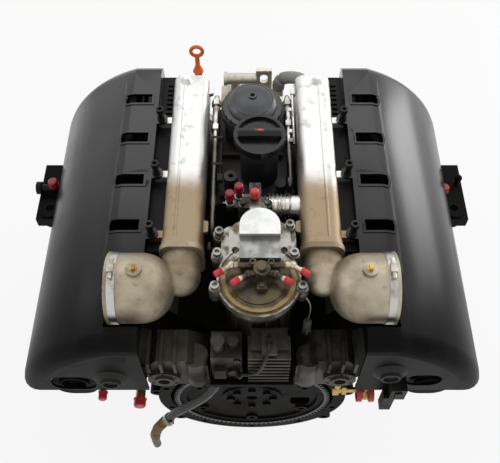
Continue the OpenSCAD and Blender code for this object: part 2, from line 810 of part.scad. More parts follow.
bridge_y = 461;
module coolant_bridge() {
    low = valley_floor;
    color([0.72, 0.62, 0.48]) {
        difference() {
            union() {
                slab_y(442, 482) polygon([[-27, low], [27, low], [56, low + 31], [56, 290], [40, 304],
                    [-40, 304], [-56, 290], [-56, low + 31]]);
                for (x = [-30, 0, 30]) translate([x - 3, 438, 150]) cube([6, 48, 146]);
                // cross pipe on two posts
                translate([-48, bridge_y, 330]) turn_x() cylinder(h = 56, r = 10);
                translate([-50, bridge_y, 330]) turn_x() cylinder(h = 6, r = 12);
                translate([-30, bridge_y, 300]) cylinder(h = 24, r = 8);
                // stub for the hose
                translate([48, bridge_y, 280]) cylinder(h = 27, r = 9);
            }
            translate([-60, bridge_y, 330]) turn_x() cylinder(h = 40, r = 7);
        }
        // lifting bracket with an oval hole
        difference() {
            translate([7, bridge_y - 4, 300]) cube([28, 8, 52]);
            translate([21, bridge_y - 10, 336]) turn_y() cylinder(h = 20, r = 7);
            translate([21, bridge_y - 10, 330]) turn_y() cylinder(h = 20, r = 7);
        }
    }
}

module coolant_hose() {
    color([0.55, 0.56, 0.55]) hose(spline([[48, bridge_y, 307.9], [48.3, bridge_y, 319],
        [54, bridge_y, 330], [70, bridge_y, 333], [88, bridge_y, 328], [97, bridge_y - 4, 316],
        [103, bridge_y - 13, 312], [103, tube_far + 1.3, 311]], 3), 11, 16);
}

// ---------------------------------------------------------------- pump
module pump_outline(grow) {
    translate(pump_at) circle(pump_rim_d / 2 - 3 + grow);
    translate([10, 92]) round_rect(112 + 2 * grow, 92 + 2 * grow, 16);
    for (p = pump_bolt_places) translate(p) circle(9.2 + grow);
}

module pump_body() {
    color([0.22, 0.21, 0.2]) difference() {
        union() {
            translate([pump_at[0], pump_at[1], pump_foot]) cylinder(h = pump_plate - pump_foot, r = 46);
            translate([0, 0, pump_plate - 12]) linear_extrude(12) pump_outline(0);
            translate([-40, 50, 240]) cube([100, 86, pump_plate - 240]);
            // seat of the left-hand fuel pipe
            translate([-70, pipe_near - 9, deck_z - 14]) cube([40, 14, 14]);
            // ribs round the cylinder
            for (a = [200 : 28 : 340]) translate([pump_at[0], pump_at[1], pump_foot]) rotate(a)
                translate([44, -2, 0]) cube([7, 4, 136]);
        }
        translate([pump_at[0], pump_at[1], pump_plate - 3]) cylinder(h = 10, r = 40);
    }
}

module pump_cover() {
    color([0.7, 0.66, 0.6]) difference() {
        union() {
            translate([0, 0, pump_plate]) linear_extrude(7) pump_outline(0);
            translate([pump_at[0], pump_at[1], pump_plate]) cylinder(h = 13, r = pump_rim_d / 2);
            for (p = pump_bolt_places) translate([p[0], p[1], pump_plate]) cylinder(h = 13, r = 8.6);
            // lower block and raised D pad
            translate([11.5, 104, pump_plate]) linear_extrude(13) round_rect(92, 80, 24);
            translate([-18, 62, pump_plate]) cube([59, 34, 41]);
            translate([-18, 95, pump_plate]) cube([59, 15.5, pad_top - pump_plate]);
            translate([0, 0, pump_plate]) linear_extrude(pad_top - pump_plate) intersection() {
                translate([11.5, 110.5]) circle(29.5);
                translate([-20, 95]) square([63, 50]);
            }
            // neck with a bolted flange and a stub, then the plate with two more stubs
            translate([-4, 146, pump_plate - 20]) cube([18, 60, 46]);
            translate([-3, 132, pump_plate]) cube([16, 34, 46]);
            translate([-12, 151, pump_plate]) cube([34, 20, 37]);
            for (x = [-13, 23]) translate([x, 161, pump_plate]) cylinder(h = 34, r = 8);
            for (x = [-13, 23]) translate([x, 161, pump_plate + 34]) cylinder(h = 6, d = 10, $fn = 6);
            translate([4, 164, pump_plate + 40]) cylinder(h = 16, r = 4.5);
            translate([-34, 182, pump_plate]) cylinder(h = 26, r = 5);
            translate([-20, 194, pump_plate]) cylinder(h = 28, r = 5);
            translate([-40, 176, pump_plate - 8]) cube([40, 26, 10]);
            // seat of the bellows pipe
            translate([14, 186, 326]) turn_x() cylinder(h = 6, r = 18);
        }
        // turned grooves in the round face
        translate([pump_at[0], pump_at[1], pump_rim_top - 1.6]) tube_of(46, 41, 4);
        translate([pump_at[0], pump_at[1], pump_rim_top - 2.5]) tube_of(58, 54, 4);
        // seam under the top of the pad, and a pocket on each side
        translate([-30, 94, pad_top - 7]) cube([84, 2.4, 2]);
        for (s = [-1, 1]) translate([11.5 + s * 36, 92, pump_plate + 5]) cylinder(h = 20, r = 5.5);
    }
}

module at_stubs() {
    for (i = [0 : 3]) translate([distributor_at[0], distributor_at[1], stub_z])
        translate(stub_places[i]) rotate([0, 90, i < 2 ? stub_angle : 540 - stub_angle]) children();
}

module port_distributor() {
    color([0.75, 0.68, 0.55]) {
        translate([distributor_at[0], distributor_at[1] - 8, pump_rim_top]) {
            cylinder(h = 10, r = 15);
            translate([0, 0, 10]) cylinder(h = 18, r = 12);
            translate([0, 0, 28]) cylinder(h = 5, r = 7);
            // foot towards the near rim, with a screw
            translate([-7, -24, 0]) cube([14, 22, 9]);
            translate([0, -18, 9]) cylinder(h = 4, d = 8, $fn = 6);
        }
        // arms, with the four stubs on their ends
        translate([distributor_at[0] - 43, distributor_at[1] + 2, stub_z]) turn_x() cylinder(h = 86, r = 5);
        for (i = [0, 3]) translate([distributor_at[0], distributor_at[1], stub_z])
            translate(stub_places[i]) sphere(r = 6.2);
        for (i = [1, 2]) translate([distributor_at[0], distributor_at[1], stub_z]) {
            translate(stub_places[i]) sphere(r = 5.6);
            translate([0, -8, 0]) rotate([0, 90, i == 1 ? 192 : -12]) cylinder(h = 19, r = 4.4);
        }
        at_stubs() {
            cylinder(h = stub_long, r = 3.4);
            translate([0, 0, stub_long - 5.5]) cylinder(h = 3, r = 4.4);
        }
        // bridge with two bolts behind it
        translate([distributor_at[0] - 18, 51, pump_rim_top]) cube([36, 10.5, 21]);
        for (s = [-1, 1]) translate([distributor_at[0] + s * 13, 56, pump_rim_top + 21]) {
            cylinder(h = 2, r = 5.2);
            translate([0, 0, 2]) socket_bolt(10, 6);
        }
    }
}

// Slip-on cap: closed at the far end, over a stub of radius r
module slip_cap(r, length) {
    difference() {
        union() {
            cylinder(h = length, r = r + 1.8);
            cylinder(h = 2, r = r + 2.8);
        }
        translate([0, 0, -1]) cylinder(h = length * 0.5 + 1, r = r + 0.01);
    }
    translate([0, 0, length]) cylinder(h = 2, r1 = r + 1.8, r2 = r);
}

module transport_caps() {
    color([0.85, 0.1, 0.12]) {
        at_stubs() translate([0, 0, stub_long - 2.4]) slip_cap(3.4, 11);
        translate([4, 164, pump_plate + 50]) slip_cap(4.5, 12);
        translate([-34, 182, pump_plate + 20]) slip_cap(5, 13);
        translate([-20, 194, pump_plate + 22]) slip_cap(5, 13);
        translate([-184, near_front + 5, 111]) rotate([90, 0, 0]) slip_cap(8, 12);
        translate([-239, near_front + 5, 144]) rotate([90, 0, 0]) slip_cap(5, 12);
        translate([-372, 342, 172.5]) slip_cap(7, 12);
        translate([366, 346, 150]) slip_cap(6, 12);
        for (x = [172, 192]) translate([x, -40, 112]) turn_x() tube_of(15, 11, 8);
    }
}

module pump_bolts() {
    color([0.55, 0.55, 0.55]) for (p = pump_bolt_places)
        translate([p[0], p[1], pump_rim_top]) {
            cylinder(h = 1.6, r = 8);
            translate([0, 0, 1.6]) socket_bolt(13, 8);
        }
}

module bellows_pipe() {
    turns = 6;
    pitch = 6.2;
    long = turns * pitch;
    start = 20;
    cuff_end = tube_x - tube_width / 2;
    color([0.8, 0.78, 0.7]) translate([start, 186, 326]) turn_x() difference() {
        rotate_extrude() polygon(concat(
            [[0, 0], [17, 0]],
            [for (i = [0 : turns * 8]) [18.5 - 2.5 * cos(i * 45), 4 + i * pitch / 8]],
            [[17, long + 4], [17, cuff_end - start], [0, cuff_end - start]]
        ));
        translate([0, 0, -1]) cylinder(h = 80, r = 13);
    }
}

// ---------------------------------------------------------------- dipstick
module dipstick_tube() {
    color([0.25, 0.25, 0.25]) translate([dipstick_at[0], dipstick_at[1], stick_seat]) difference() {
        union() {
            cylinder(h = 142, r = 5);
            cylinder(h = 6, r = 9);
            translate([0, 0, 142]) cylinder(h = 12, r1 = 5, r2 = 9);
            // clip to the tube casting
            translate([-4, tube_far - dipstick_at[1], 128]) cube([8, dipstick_at[1] - tube_far, 8]);
        }
        translate([0, 0, -1]) cylinder(h = 160, r = 3.4);
    }
}

module dipstick() {
    top = stick_seat + 154.3;
    color([0.95, 0.33, 0.05]) translate([dipstick_at[0], dipstick_at[1], 0]) {
        translate([0, 0, -110]) cylinder(h = 112 + top, r = 2.6);
        translate([0, 0, top]) cylinder(h = 9, r1 = 9.5, r2 = 6);
        translate([0, 0, top + 9]) cylinder(h = 26, r = 4.2);
        translate([0, 0, top + 45]) rotate([90, 0, 0]) rotate_extrude() translate([10, 0]) circle(3.2);
    }
}

// ---------------------------------------------------------------- castings over the bell
module rib_housing(s) {
    x0 = 66;
    x1 = 160;
    drum = [134, 206];
    color([0.36, 0.34, 0.3]) side(s) {
        difference() {
            union() {
                slab_y(near_front + 8, block_near - 40) polygon([[x0, 170], [x1 - 8, 170], [x1, 182],
                    [x1, 238], [x1 - 18, 262], [x0 + 30, 262], [x0, 244]]);
                // round flange in front, and a tall boss beside it
                slab_y(near_front, near_front + 14) translate(drum) circle(25);
                slab_y(near_front - 3, near_front + 2) translate(drum) circle(15);
                translate([84, near_front + 20, 174]) cylinder(h = 82, r = 19);
                // ribs over the top and down the near face
                for (x = [112, 132, 151]) translate([x, near_front, 236]) {
                    cube([4.5, 12, 32]);
                    translate([0, 6, 18]) cube([4.5, block_near - 50 - near_front, 14]);
                }
                // mounting foot against the gear housing
                slab_y(block_near - 46, 4) polygon([[x0 + 14, 150], [x1 - 14, 130], [x1 - 2, 190],
                    [x0 + 3, 228]]);
            }
            for (a = [30 : 60 : 330]) slab_y(near_front - 1, near_front + 7) translate(drum) rotate(a)
                translate([20.5, 0]) circle(2.6);
            slab_y(near_front - 4, near_front + 5) translate(drum) circle(9);
        }
    }
}

module finned_block() {
    color([0.5, 0.48, 0.43]) {
        translate([-2, -44, pump_foot]) cube([54, 35, 100]);
        for (k = [0 : 7]) translate([-6, near_front, pump_foot + 5 + k * 12]) cube([62, 36, 5]);
        translate([14, near_front + 2, 296]) cube([22, 38, 8]);
    }
}

module valve_block() {
    color([0.4, 0.38, 0.35]) {
        translate([-61, -46, pump_foot]) cube([46, 42, 76]);
        translate([-50, -30, 272]) cylinder(h = 26, r = 10);
        translate([-28, -26, 272]) cylinder(h = 16, r = 8);
        translate([-57, near_front + 1, pump_foot + 14]) cube([18, 12, 30]);
        slab_y(near_front + 3, near_front + 12) translate([-27, 226]) circle(9);
        for (z = [pump_foot + 7, 262]) slab_y(near_front + 6, near_front + 12) translate([-22, z])
            circle(d = 11, $fn = 6);
    }
}

breather_route = [[-54, -42, pump_foot - 10.6], [-54.2, -42.4, 176], [-60, -48, 160], [-78, -56, 134],
    [-104, -60, 104], [-128, -62, 76], [-148, -64, 42], [-165, -66, 8], [-174, -66, -28],
    [-177, -66, -60], [-177, -66, -88]];
module breather_pipe() {
    color([0.35, 0.26, 0.18]) hose(spline(breather_route, 3), 7.5, 14);
}

module brass_fittings() {
    color([0.75, 0.55, 0.25]) {
        // stub and pipe towards the ball joint
        translate([132, -36, 115]) turn_x() {
            cylinder(h = 10, r = 9);
            translate([0, 0, 10]) cylinder(h = 6, r = 6);
            translate([0, 0, 16]) cylinder(h = 7, d = 17, $fn = 6);
            cylinder(h = 52, r = 4.5);
        }
        translate([140, -36, 115]) cylinder(h = 53, r = 5.5);
        translate([186, -40, 112]) sphere(r = 12);
        translate([186, -40, 112]) rotate([0, 0, 0]) cylinder(h = 66, r = 4.5);
        // two capped stubs on the other side
        slab_y(near_front, 4) translate([-184, 111]) circle(8);
        slab_y(near_front, 4) translate([-239, 144]) circle(5);
        // leaning stub beside it
        translate([199, -40, 156]) rotate([0, -30, 0]) cylinder(h = 34, r = 7);
        translate([199, -40, 156]) rotate([0, 150, 0]) cylinder(h = 8, r = 9);
    }
}

arm_near = 280;
arm_far = 408;
module mount_arm(s) {
    color([0.2, 0.2, 0.2]) side(s) difference() {
        union() {
            slab_y(arm_near + 30, arm_far - 30) polygon([[flange_half, 16], [flange_half, -16],
                [170, -10], [290, 38], [356, 104], [356, 130], [342, 130], [285, 74], [262, 66],
                [180, 40]]);
            slab_y(arm_near, arm_far) translate([336, 128]) square([66, 22]);
            for (y = [arm_near + 30, 341, arm_far - 36]) slab_y(y, y + 6)
                polygon([[150, -6], [280, 30], [350, 94], [398, 129], [345, 131], [284, 72], [160, 30]]);
            translate([378, 303, 118]) cylinder(h = 36, r = 20);
        }
        translate([378, 303, 100]) cylinder(h = 80, r = 7);
        slab_y(arm_near + 42, arm_far - 42) polygon([[190, -30], [276, 10], [272, 56], [190, 28]]);
    }
    // stud with a ball end on the right-hand arm, a plain stud on the other
    color("gray") side(s) translate([392, 362, 148]) {
        cylinder(h = 16, r = 4);
        if (s > 0) {
            translate([0, 0, 20]) sphere(r = 7);
            // capped stub beside it
            translate([-26, -16, 0]) cylinder(h = 8, r = 6);
        }
    }
}

module side_elbow() {
    color([0.08, 0.08, 0.08]) {
        translate([-372, 342, 150]) cylinder(h = 28, r = 7);
        translate([-372, 342, 150]) cylinder(h = 5, r = 10);
        translate([-372, 342, 164]) turn_x() translate([0, 0, -24]) cylinder(h = 24, r = 7.5);
        translate([-396, 342, 164]) turn_x() translate([0, 0, -9]) cylinder(h = 9, r = 12);
    }
}

module plug_connector() {
    color([0.04, 0.04, 0.04]) {
        translate([212, near_front - 18, 172]) cube([24, 18, 37]);
        translate([205, near_front - 17, 122]) cube([17, 16, 52]);
        translate([219, near_front - 20, 178]) cube([10, 3, 22]);
    }
}

// ---------------------------------------------------------------- crank train
module crank_web(y0, y1, angle) {
    slab_y(y0, y1) rotate(angle) union() {
        circle(40);
        translate([crank_throw, 0]) circle(34);
        translate([0, -35]) square([crank_throw, 70]);
        // counterweight
        intersection() {
            circle(82);
            translate([-90, -58]) square([80, 116]);
        }
    }
}

module crankshaft() {
    web = 9;
    color("silver") difference() {
        union() {
            slab_y(0, 12) circle(48);
            slab_y(12, 18) circle(main_r + 6);
            slab_y(gear_near, gear_far) polygon(gear_points(crank_teeth, crank_first, gear_module));
            slab_y(gear_far, block_near + 2) circle(main_r + 2);
            for (k = [0 : bays]) {
                y = block_near + k * bore_pitch;
                slab_y(y, y + wall_width) circle(main_r);
            }
            for (k = [0 : bays - 1]) {
                y = block_near + wall_width + k * bore_pitch;
                a = 90 + 144 * k;
                room = bore_pitch - wall_width;
                crank_web(y + 1, y + 1 + web, a);
                crank_web(y + room - 1 - web, y + room - 1, a);
                slab_y(y + 1, y + room - 1) rotate(a) translate([crank_throw, 0]) circle(28);
                slab_y(y - 1, y + 2) circle(main_r);
                slab_y(y + room - 2, y + room + 1) circle(main_r);
            }
            slab_y(block_far, block_far + 74) circle(24);
            // head of the centre bolt, over the damper
            slab_y(block_far + 74, block_far + 79) circle(30);
            slab_y(block_far + 79, block_far + 92) circle(d = 30, $fn = 6);
        }
        // pilot bore and bolt holes in the flange
        translate([0, -1, 0]) turn_y() cylinder(h = 26, r = 10);
        for (a = [0 : 45 : 315]) slab_y(-1, 13) rotate(a) translate([38, 0]) circle(4);
    }
}

plate_r = 130;
module drive_plate() {
    color([0.2, 0.2, 0.21]) difference() {
        union() {
            slab_y(-6, 0) circle(plate_r);
            slab_y(-10, 0) difference() {
                circle(plate_r);
                circle(plate_r - 12);
            }
            slab_y(-9, 0) circle(54);
            for (a = [0 : 45 : 315]) slab_y(-14, -9) rotate(a) translate([38, 0]) circle(d = 15, $fn = 6);
            slab_y(-11, 0) for (a = [30 : 60 : 330]) rotate(a) translate([106, 0]) circle(11);
        }
        translate([0, -20, 0]) turn_y() cylinder(h = 30, r = 10);
        // one window, to turn the engine by its ring gear
        slab_y(-20, 1) translate([88, -22]) round_rect(36, 36, 9);
        for (a = [30 : 60 : 330]) slab_y(-20, 1) rotate(a) translate([106, 0]) circle(5.5);
    }
}

ring_teeth = 92;
ring_module = 3;
module ring_gear() {
    color("dimgray") difference() {
        slab_y(-13, -3) polygon(gear_points(ring_teeth, 0, ring_module));
        slab_y(-14, -2) circle(plate_r, $fn = 192);
    }
}

module damper() {
    near = block_far + 38;
    color([0.12, 0.12, 0.12]) difference() {
        translate([0, near, 0]) turn_y() rotate_extrude() polygon([
            [24.4, 0], [40, 0], [40, 8], [66, 10], [66, 2], [86, 2], [86, 12],
            for (k = [0 : 5]) each [[86, 14 + k * 4], [82.5, 16 + k * 4]],
            [86, 38], [66, 38], [66, 30], [40, 28], [40, 36], [24.4, 36]
        ]);
        for (a = [36 : 72 : 324]) slab_y(near, near + 40) rotate(a) translate([53, 0]) circle(9);
    }
}

module lightened_gear(teeth, first, hub) {
    r = gear_module * teeth / 2;
    difference() {
        union() {
            slab_y(gear_near, gear_far) polygon(gear_points(teeth, first, gear_module));
            slab_y(gear_near - 2, gear_far + 2) circle(hub);
        }
        for (a = [0 : 60 : 300]) slab_y(gear_near - 1, gear_far + 1) rotate(a)
            translate([(hub + r) / 2, 0]) circle((r - hub) / 2 - 8);
    }
}

module idler_gear(s) {
    color("steelblue") side(s) translate([idler_x, 0, idler_z]) difference() {
        lightened_gear(idler_teeth, idler_first, 26);
        slab_y(gear_near - 3, gear_far + 3) circle(14 + fit);
    }
}

module cam_lobe(y0, y1, angle) {
    slab_y(y0, y1) rotate(angle) {
        circle(15);
        translate([14, 0]) circle(7);
        polygon([[0, -15], [14, -7], [14, 7], [0, 15]]);
    }
}

module camshaft(s) {
    journal_pitch = (head_far - block_near - 36) / bays;
    color("lightsteelblue") side(s) translate([cam_side, 0, cam_side]) {
        lightened_gear(cam_teeth, cam_first, 24);
        slab_y(gear_far, block_near) circle(20);
        slab_y(block_near, head_far - 12) circle(12);
        for (k = [0 : bays]) {
            y = block_near + 4 + k * journal_pitch;
            slab_y(y, y + 16) circle(cam_bore - fit);
        }
        // intake, injector and exhaust lobe of each cylinder
        for (k = [0 : bays - 1], e = [0 : 2]) {
            y = block_near + 26 + k * journal_pitch + e * 19;
            cam_lobe(y, y + 12, k * 144 + e * 55);
        }
    }
}

// ---------------------------------------------------------------- intake flaps
module flap(s) {
    color([0.7, 0.6, 0.3]) side(s) translate([flap_x, elbow_y, elbow_z]) {
        difference() {
            translate([0, 1.5, 0]) rotate([90, 0, 0]) cylinder(h = 3, r = flap_r);
            for (z = [-18, 18]) translate([0, -10, z]) turn_y() cylinder(h = 20, r = 2);
        }
        // shaft, with two flats at its upper end
        translate([0, 0, -elbow_radius + 1]) cylinder(h = 2 * elbow_radius + 6, r = 5);
        translate([-2.5, -4, elbow_radius + 6]) cube([5, 8, 6]);
    }
}

// ---------------------------------------------------------------- the pieces
crankcase();
bedplate();
sump();
drain_plug();
main_bearings();
gear_housing();
front_cover();
head(-1);  // head_left
head(1);  // head_right
cam_covers();
side_cover(-1);  // side_cover_left
side_cover(1);  // side_cover_right
cover_plugs();
cover_strips();
exhaust_manifold(-1);  // exhaust_manifold_left
exhaust_manifold(1);  // exhaust_manifold_right
intake_tube(-1);  // intake_tube_left
intake_tube(1);  // intake_tube_right
intake_elbow(-1);  // intake_elbow_left
intake_elbow(1);  // intake_elbow_right
clamp_bands();
lug_bolts();
filter_housing();
fuel_pipe_left();
fuel_pipe_right();
union_nuts();
coolant_bridge();
coolant_hose();
pump_body();
pump_cover();
port_distributor();
transport_caps();
pump_bolts();
bellows_pipe();
dipstick_tube();
rib_housing(-1);  // rib_housing_left
rib_housing(1);  // rib_housing_right
finned_block();
valve_block();
breather_pipe();
brass_fittings();
mount_arm(-1);  // mount_arm_left
mount_arm(1);  // mount_arm_right
side_elbow();
plug_connector();
crankshaft();
drive_plate();
ring_gear();
damper();
idler_gear(-1);  // idler_gear_left
idler_gear(1);  // idler_gear_right
camshaft(-1);  // camshaft_left
camshaft(1);  // camshaft_right
flap(-1);  // flap_left
flap(1);  // flap_right
filter_element();
filter_cap();
filler_seal();
filler_cap();
dipstick();
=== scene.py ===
# %% [markdown]
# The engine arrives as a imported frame: sixty hard pieces, each with its place in its own mesh.
# Everything here is dressed on that frame, so it is loaded first and its box is kept.
# The box is the size that the finished engine may not pass.
# %% The frame
import math
import bmesh
import bpy
from mathutils import Matrix, Vector


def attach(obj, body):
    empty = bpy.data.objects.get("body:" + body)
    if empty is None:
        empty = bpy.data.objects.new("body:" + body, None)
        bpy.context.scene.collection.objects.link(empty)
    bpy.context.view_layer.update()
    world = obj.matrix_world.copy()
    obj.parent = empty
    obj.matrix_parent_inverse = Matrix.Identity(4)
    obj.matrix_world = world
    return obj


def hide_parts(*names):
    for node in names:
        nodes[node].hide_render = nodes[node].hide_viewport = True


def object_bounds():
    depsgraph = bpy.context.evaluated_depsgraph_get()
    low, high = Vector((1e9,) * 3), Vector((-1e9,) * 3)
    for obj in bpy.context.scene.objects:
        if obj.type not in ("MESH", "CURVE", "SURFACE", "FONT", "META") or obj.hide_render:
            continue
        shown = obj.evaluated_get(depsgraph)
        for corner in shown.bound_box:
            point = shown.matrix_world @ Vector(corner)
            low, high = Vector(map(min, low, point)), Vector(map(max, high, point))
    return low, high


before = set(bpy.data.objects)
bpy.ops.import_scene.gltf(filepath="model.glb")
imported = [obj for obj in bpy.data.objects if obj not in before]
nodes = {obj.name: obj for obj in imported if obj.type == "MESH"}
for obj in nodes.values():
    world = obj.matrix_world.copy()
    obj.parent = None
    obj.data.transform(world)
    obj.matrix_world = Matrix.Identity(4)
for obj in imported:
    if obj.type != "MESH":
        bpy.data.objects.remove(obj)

cad_box = [list(v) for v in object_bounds()]
print(len(nodes), "solid pieces, box", [[round(c, 3) for c in v] for v in cad_box])

# %% [markdown]
# The engine is seen from above its gearbox end, a little over a metre away.
# A real camera there would need a 50 mm lens, so that is what is set, tilted 57 degrees down.
# A camera with no turn looks straight down, so it is turned up by what is left to 90 degrees.
# %% The camera
tilt = math.radians(57)
camera = bpy.data.objects.new("camera", bpy.data.cameras.new("camera"))
camera.location = (0, -0.447, 1.228)
camera.rotation_euler = (math.pi / 2 - tilt, 0, 0)
camera.data.lens = 50.4
camera.data.sensor_width = 36
camera.data.shift_x = -0.004
camera.data.clip_start = 0.05
bpy.context.scene.collection.objects.link(camera)
bpy.context.scene.camera = camera
print("camera looks down", round(math.degrees(tilt)), "degrees")

# %% [markdown]
# Shader maths gets long when every node is wired by hand.
# A small wrapper lets a mask be written as a sum, and one method makes any other node.
# Sums of plain numbers are left to Python: a node is made only where a mask takes part.
# %% Shader helpers
class Flow:
    """A socket's output that can be added, multiplied and mixed."""

    def __init__(self, tree, socket):
        self.tree, self.socket = tree, socket

    def maths(self, operation, other, swap=False):
        pair = [other, self] if swap else [self, other]
        return self.tree.make("ShaderNodeMath", {"operation": operation}, {0: pair[0], 1: pair[1]})

    def __add__(self, other):
        return self.maths("ADD", other)

    def __mul__(self, other):
        return self.maths("MULTIPLY", other)

    def __sub__(self, other):
        return self.maths("SUBTRACT", other)

    def __rsub__(self, other):
        return self.maths("SUBTRACT", other, swap=True)


class Tree:
    """A node tree, with short ways to make a node and to feed a socket."""

    def __init__(self, tree):
        self.tree = tree

    def make(self, kind, settings=None, sockets=None, out=0):
        node = self.tree.nodes.new(kind)
        for key, value in (settings or {}).items():
            setattr(node, key, value)
        for key, value in (sockets or {}).items():
            self.feed(node.inputs[key], value)
        return Flow(self, node.outputs[out])

    def feed(self, socket, value):
        if isinstance(value, Flow):
            self.tree.links.new(value.socket, socket)
        elif hasattr(value, "__len__") and socket.type == "RGBA":
            socket.default_value = (*value, 1)
        else:
            socket.default_value = value

    def looked_at(self):
        """1 for rays that come straight from the camera, or by way of metal or glass."""
        mask = self.make("ShaderNodeLightPath", out="Is Camera Ray")
        for ray in ("Is Glossy Ray", "Is Transmission Ray"):
            mask = mask.maths("MAXIMUM", self.make("ShaderNodeLightPath", out=ray))
        return mask


class Shop(Tree):
    """One material's nodes, with the masks and mixes that the finishes are made of."""

    def __init__(self, name):
        self.material = bpy.data.materials.new(name)
        self.material.use_nodes = True
        super().__init__(self.material.node_tree)
        self.shader = self.tree.nodes["Principled BSDF"]
        self.place = self.make("ShaderNodeTexCoord", out="Object")

    def set(self, **values):
        for key, value in values.items():
            self.feed(self.shader.inputs[key.replace("_", " ")], value)

    def along(self, axis):
        return self.make("ShaderNodeSeparateXYZ", None, {0: self.place}, out=axis)

    def away(self, axis):
        """The distance from the middle plane, the same on both sides."""
        return self.along(axis).maths("ABSOLUTE", 0.0)

    def from_axis(self, x, y):
        """The distance from an upright axis."""
        across, long = self.along("X") - x, self.along("Y") - y
        return (across * across + long * long).maths("SQRT", 0.0)

    def cloud(self, scale, detail=4, stretch=(1, 1, 1)):
        at = self.make("ShaderNodeMapping", None, {"Vector": self.place, "Scale": stretch})
        sockets = {"Vector": at, "Scale": scale, "Detail": detail, "Roughness": 0.55}
        return self.make("ShaderNodeTexNoise", None, sockets, out="Fac")

    def ragged(self, scale, detail, width=0.006):
        """A small swing about zero, which frays the edge of a mask."""
        return self.cloud(scale, detail) * width - width / 2

    def step(self, flow, low, high):
        return self.make("ShaderNodeMapRange", {"interpolation_type": "SMOOTHSTEP"},
                         {"Value": flow, "From Min": low, "From Max": high})

    def blend(self, mask, a, b):
        return self.make("ShaderNodeMix", {"data_type": "RGBA"}, {0: mask, 6: a, 7: b}, out=2)

    def relief(self, height, distance, strength=0.6):
        return self.make("ShaderNodeBump", None,
                         {"Height": height, "Distance": distance, "Strength": strength})

# %% [markdown]
# Most of the metal here is cast in sand or in a steel mould.
# Its skin is a fine grain with broad stains of oil that have baked on, so one recipe serves:
# a clean tone, a stained tone, a mask between them, and a grain in the bump.
# Where a casting turns darker all over beyond some distance along an axis, a wash says which.
# %% Cast metal
def cast(name, clean, stain, cover=(0.45, 0.65), grain=900, rough=(0.38, 0.62), metal=0.85,
         spec=0.5, wash=None):
    s = Shop(name)
    soot = s.step(s.cloud(9, 6), *cover)
    speck = s.step(s.cloud(60, 3), 0.56, 0.7)
    if wash:
        axis, low, high = wash
        edge = s.away(axis) + s.cloud(14, 5) * 0.07
        soot = soot.maths("MAXIMUM", s.step(edge, low, high))
    tone = s.blend(soot, clean, stain)
    tone = s.blend(speck * 0.35, tone, tuple(c * 0.45 for c in stain))
    smooth, baked = rough
    s.set(Base_Color=tone, Metallic=metal, Roughness=soot * (baked - smooth) + smooth,
          Normal=s.relief(s.cloud(grain, 2) + s.cloud(120, 3) * 0.6, 0.0004))
    s.shader.inputs["Specular IOR Level"].default_value = spec
    return s.material


silver_cast = cast("silver_cast", (0.40, 0.39, 0.37), (0.19, 0.17, 0.14), cover=(0.42, 0.66))
head_cast = cast("head_cast", (0.40, 0.39, 0.37), (0.026, 0.022, 0.017), cover=(0.60, 0.90),
                 wash=("Z", 0.262, 0.292))
# The intake tubes turn browner and darker towards their near end.
tube_cast = cast("tube_cast", (0.74, 0.74, 0.72), (0.33, 0.25, 0.16), cover=(0.66, 0.9),
                 grain=1300, rough=(0.36, 0.5), wash=("Y", 0.285, 0.215))
elbow_cast = cast("elbow_cast", (0.50, 0.44, 0.34), (0.24, 0.19, 0.125), cover=(0.36, 0.66),
                  grain=800)
block_cast = cast("block_cast", (0.030, 0.027, 0.022), (0.010, 0.008, 0.006), metal=0.3,
                  rough=(0.5, 0.75), spec=0.2)
dark_cast = cast("dark_cast", (0.048, 0.043, 0.033), (0.011, 0.009, 0.007), metal=0.4,
                 rough=(0.42, 0.7), spec=0.25)
rib_cast = cast("rib_cast", (0.060, 0.054, 0.041), (0.005, 0.0045, 0.004), metal=0.3,
                rough=(0.42, 0.6), spec=0.15, wash=("X", 0.112, 0.102))
heat_cast = cast("heat_cast", (0.20, 0.11, 0.065), (0.08, 0.045, 0.03), metal=0.3,
                 rough=(0.7, 0.9))
beige_cast = cast("beige_cast", (0.76, 0.73, 0.64), (0.46, 0.34, 0.21), cover=(0.5, 0.72),
                  metal=0.5)
print("cast metals made")
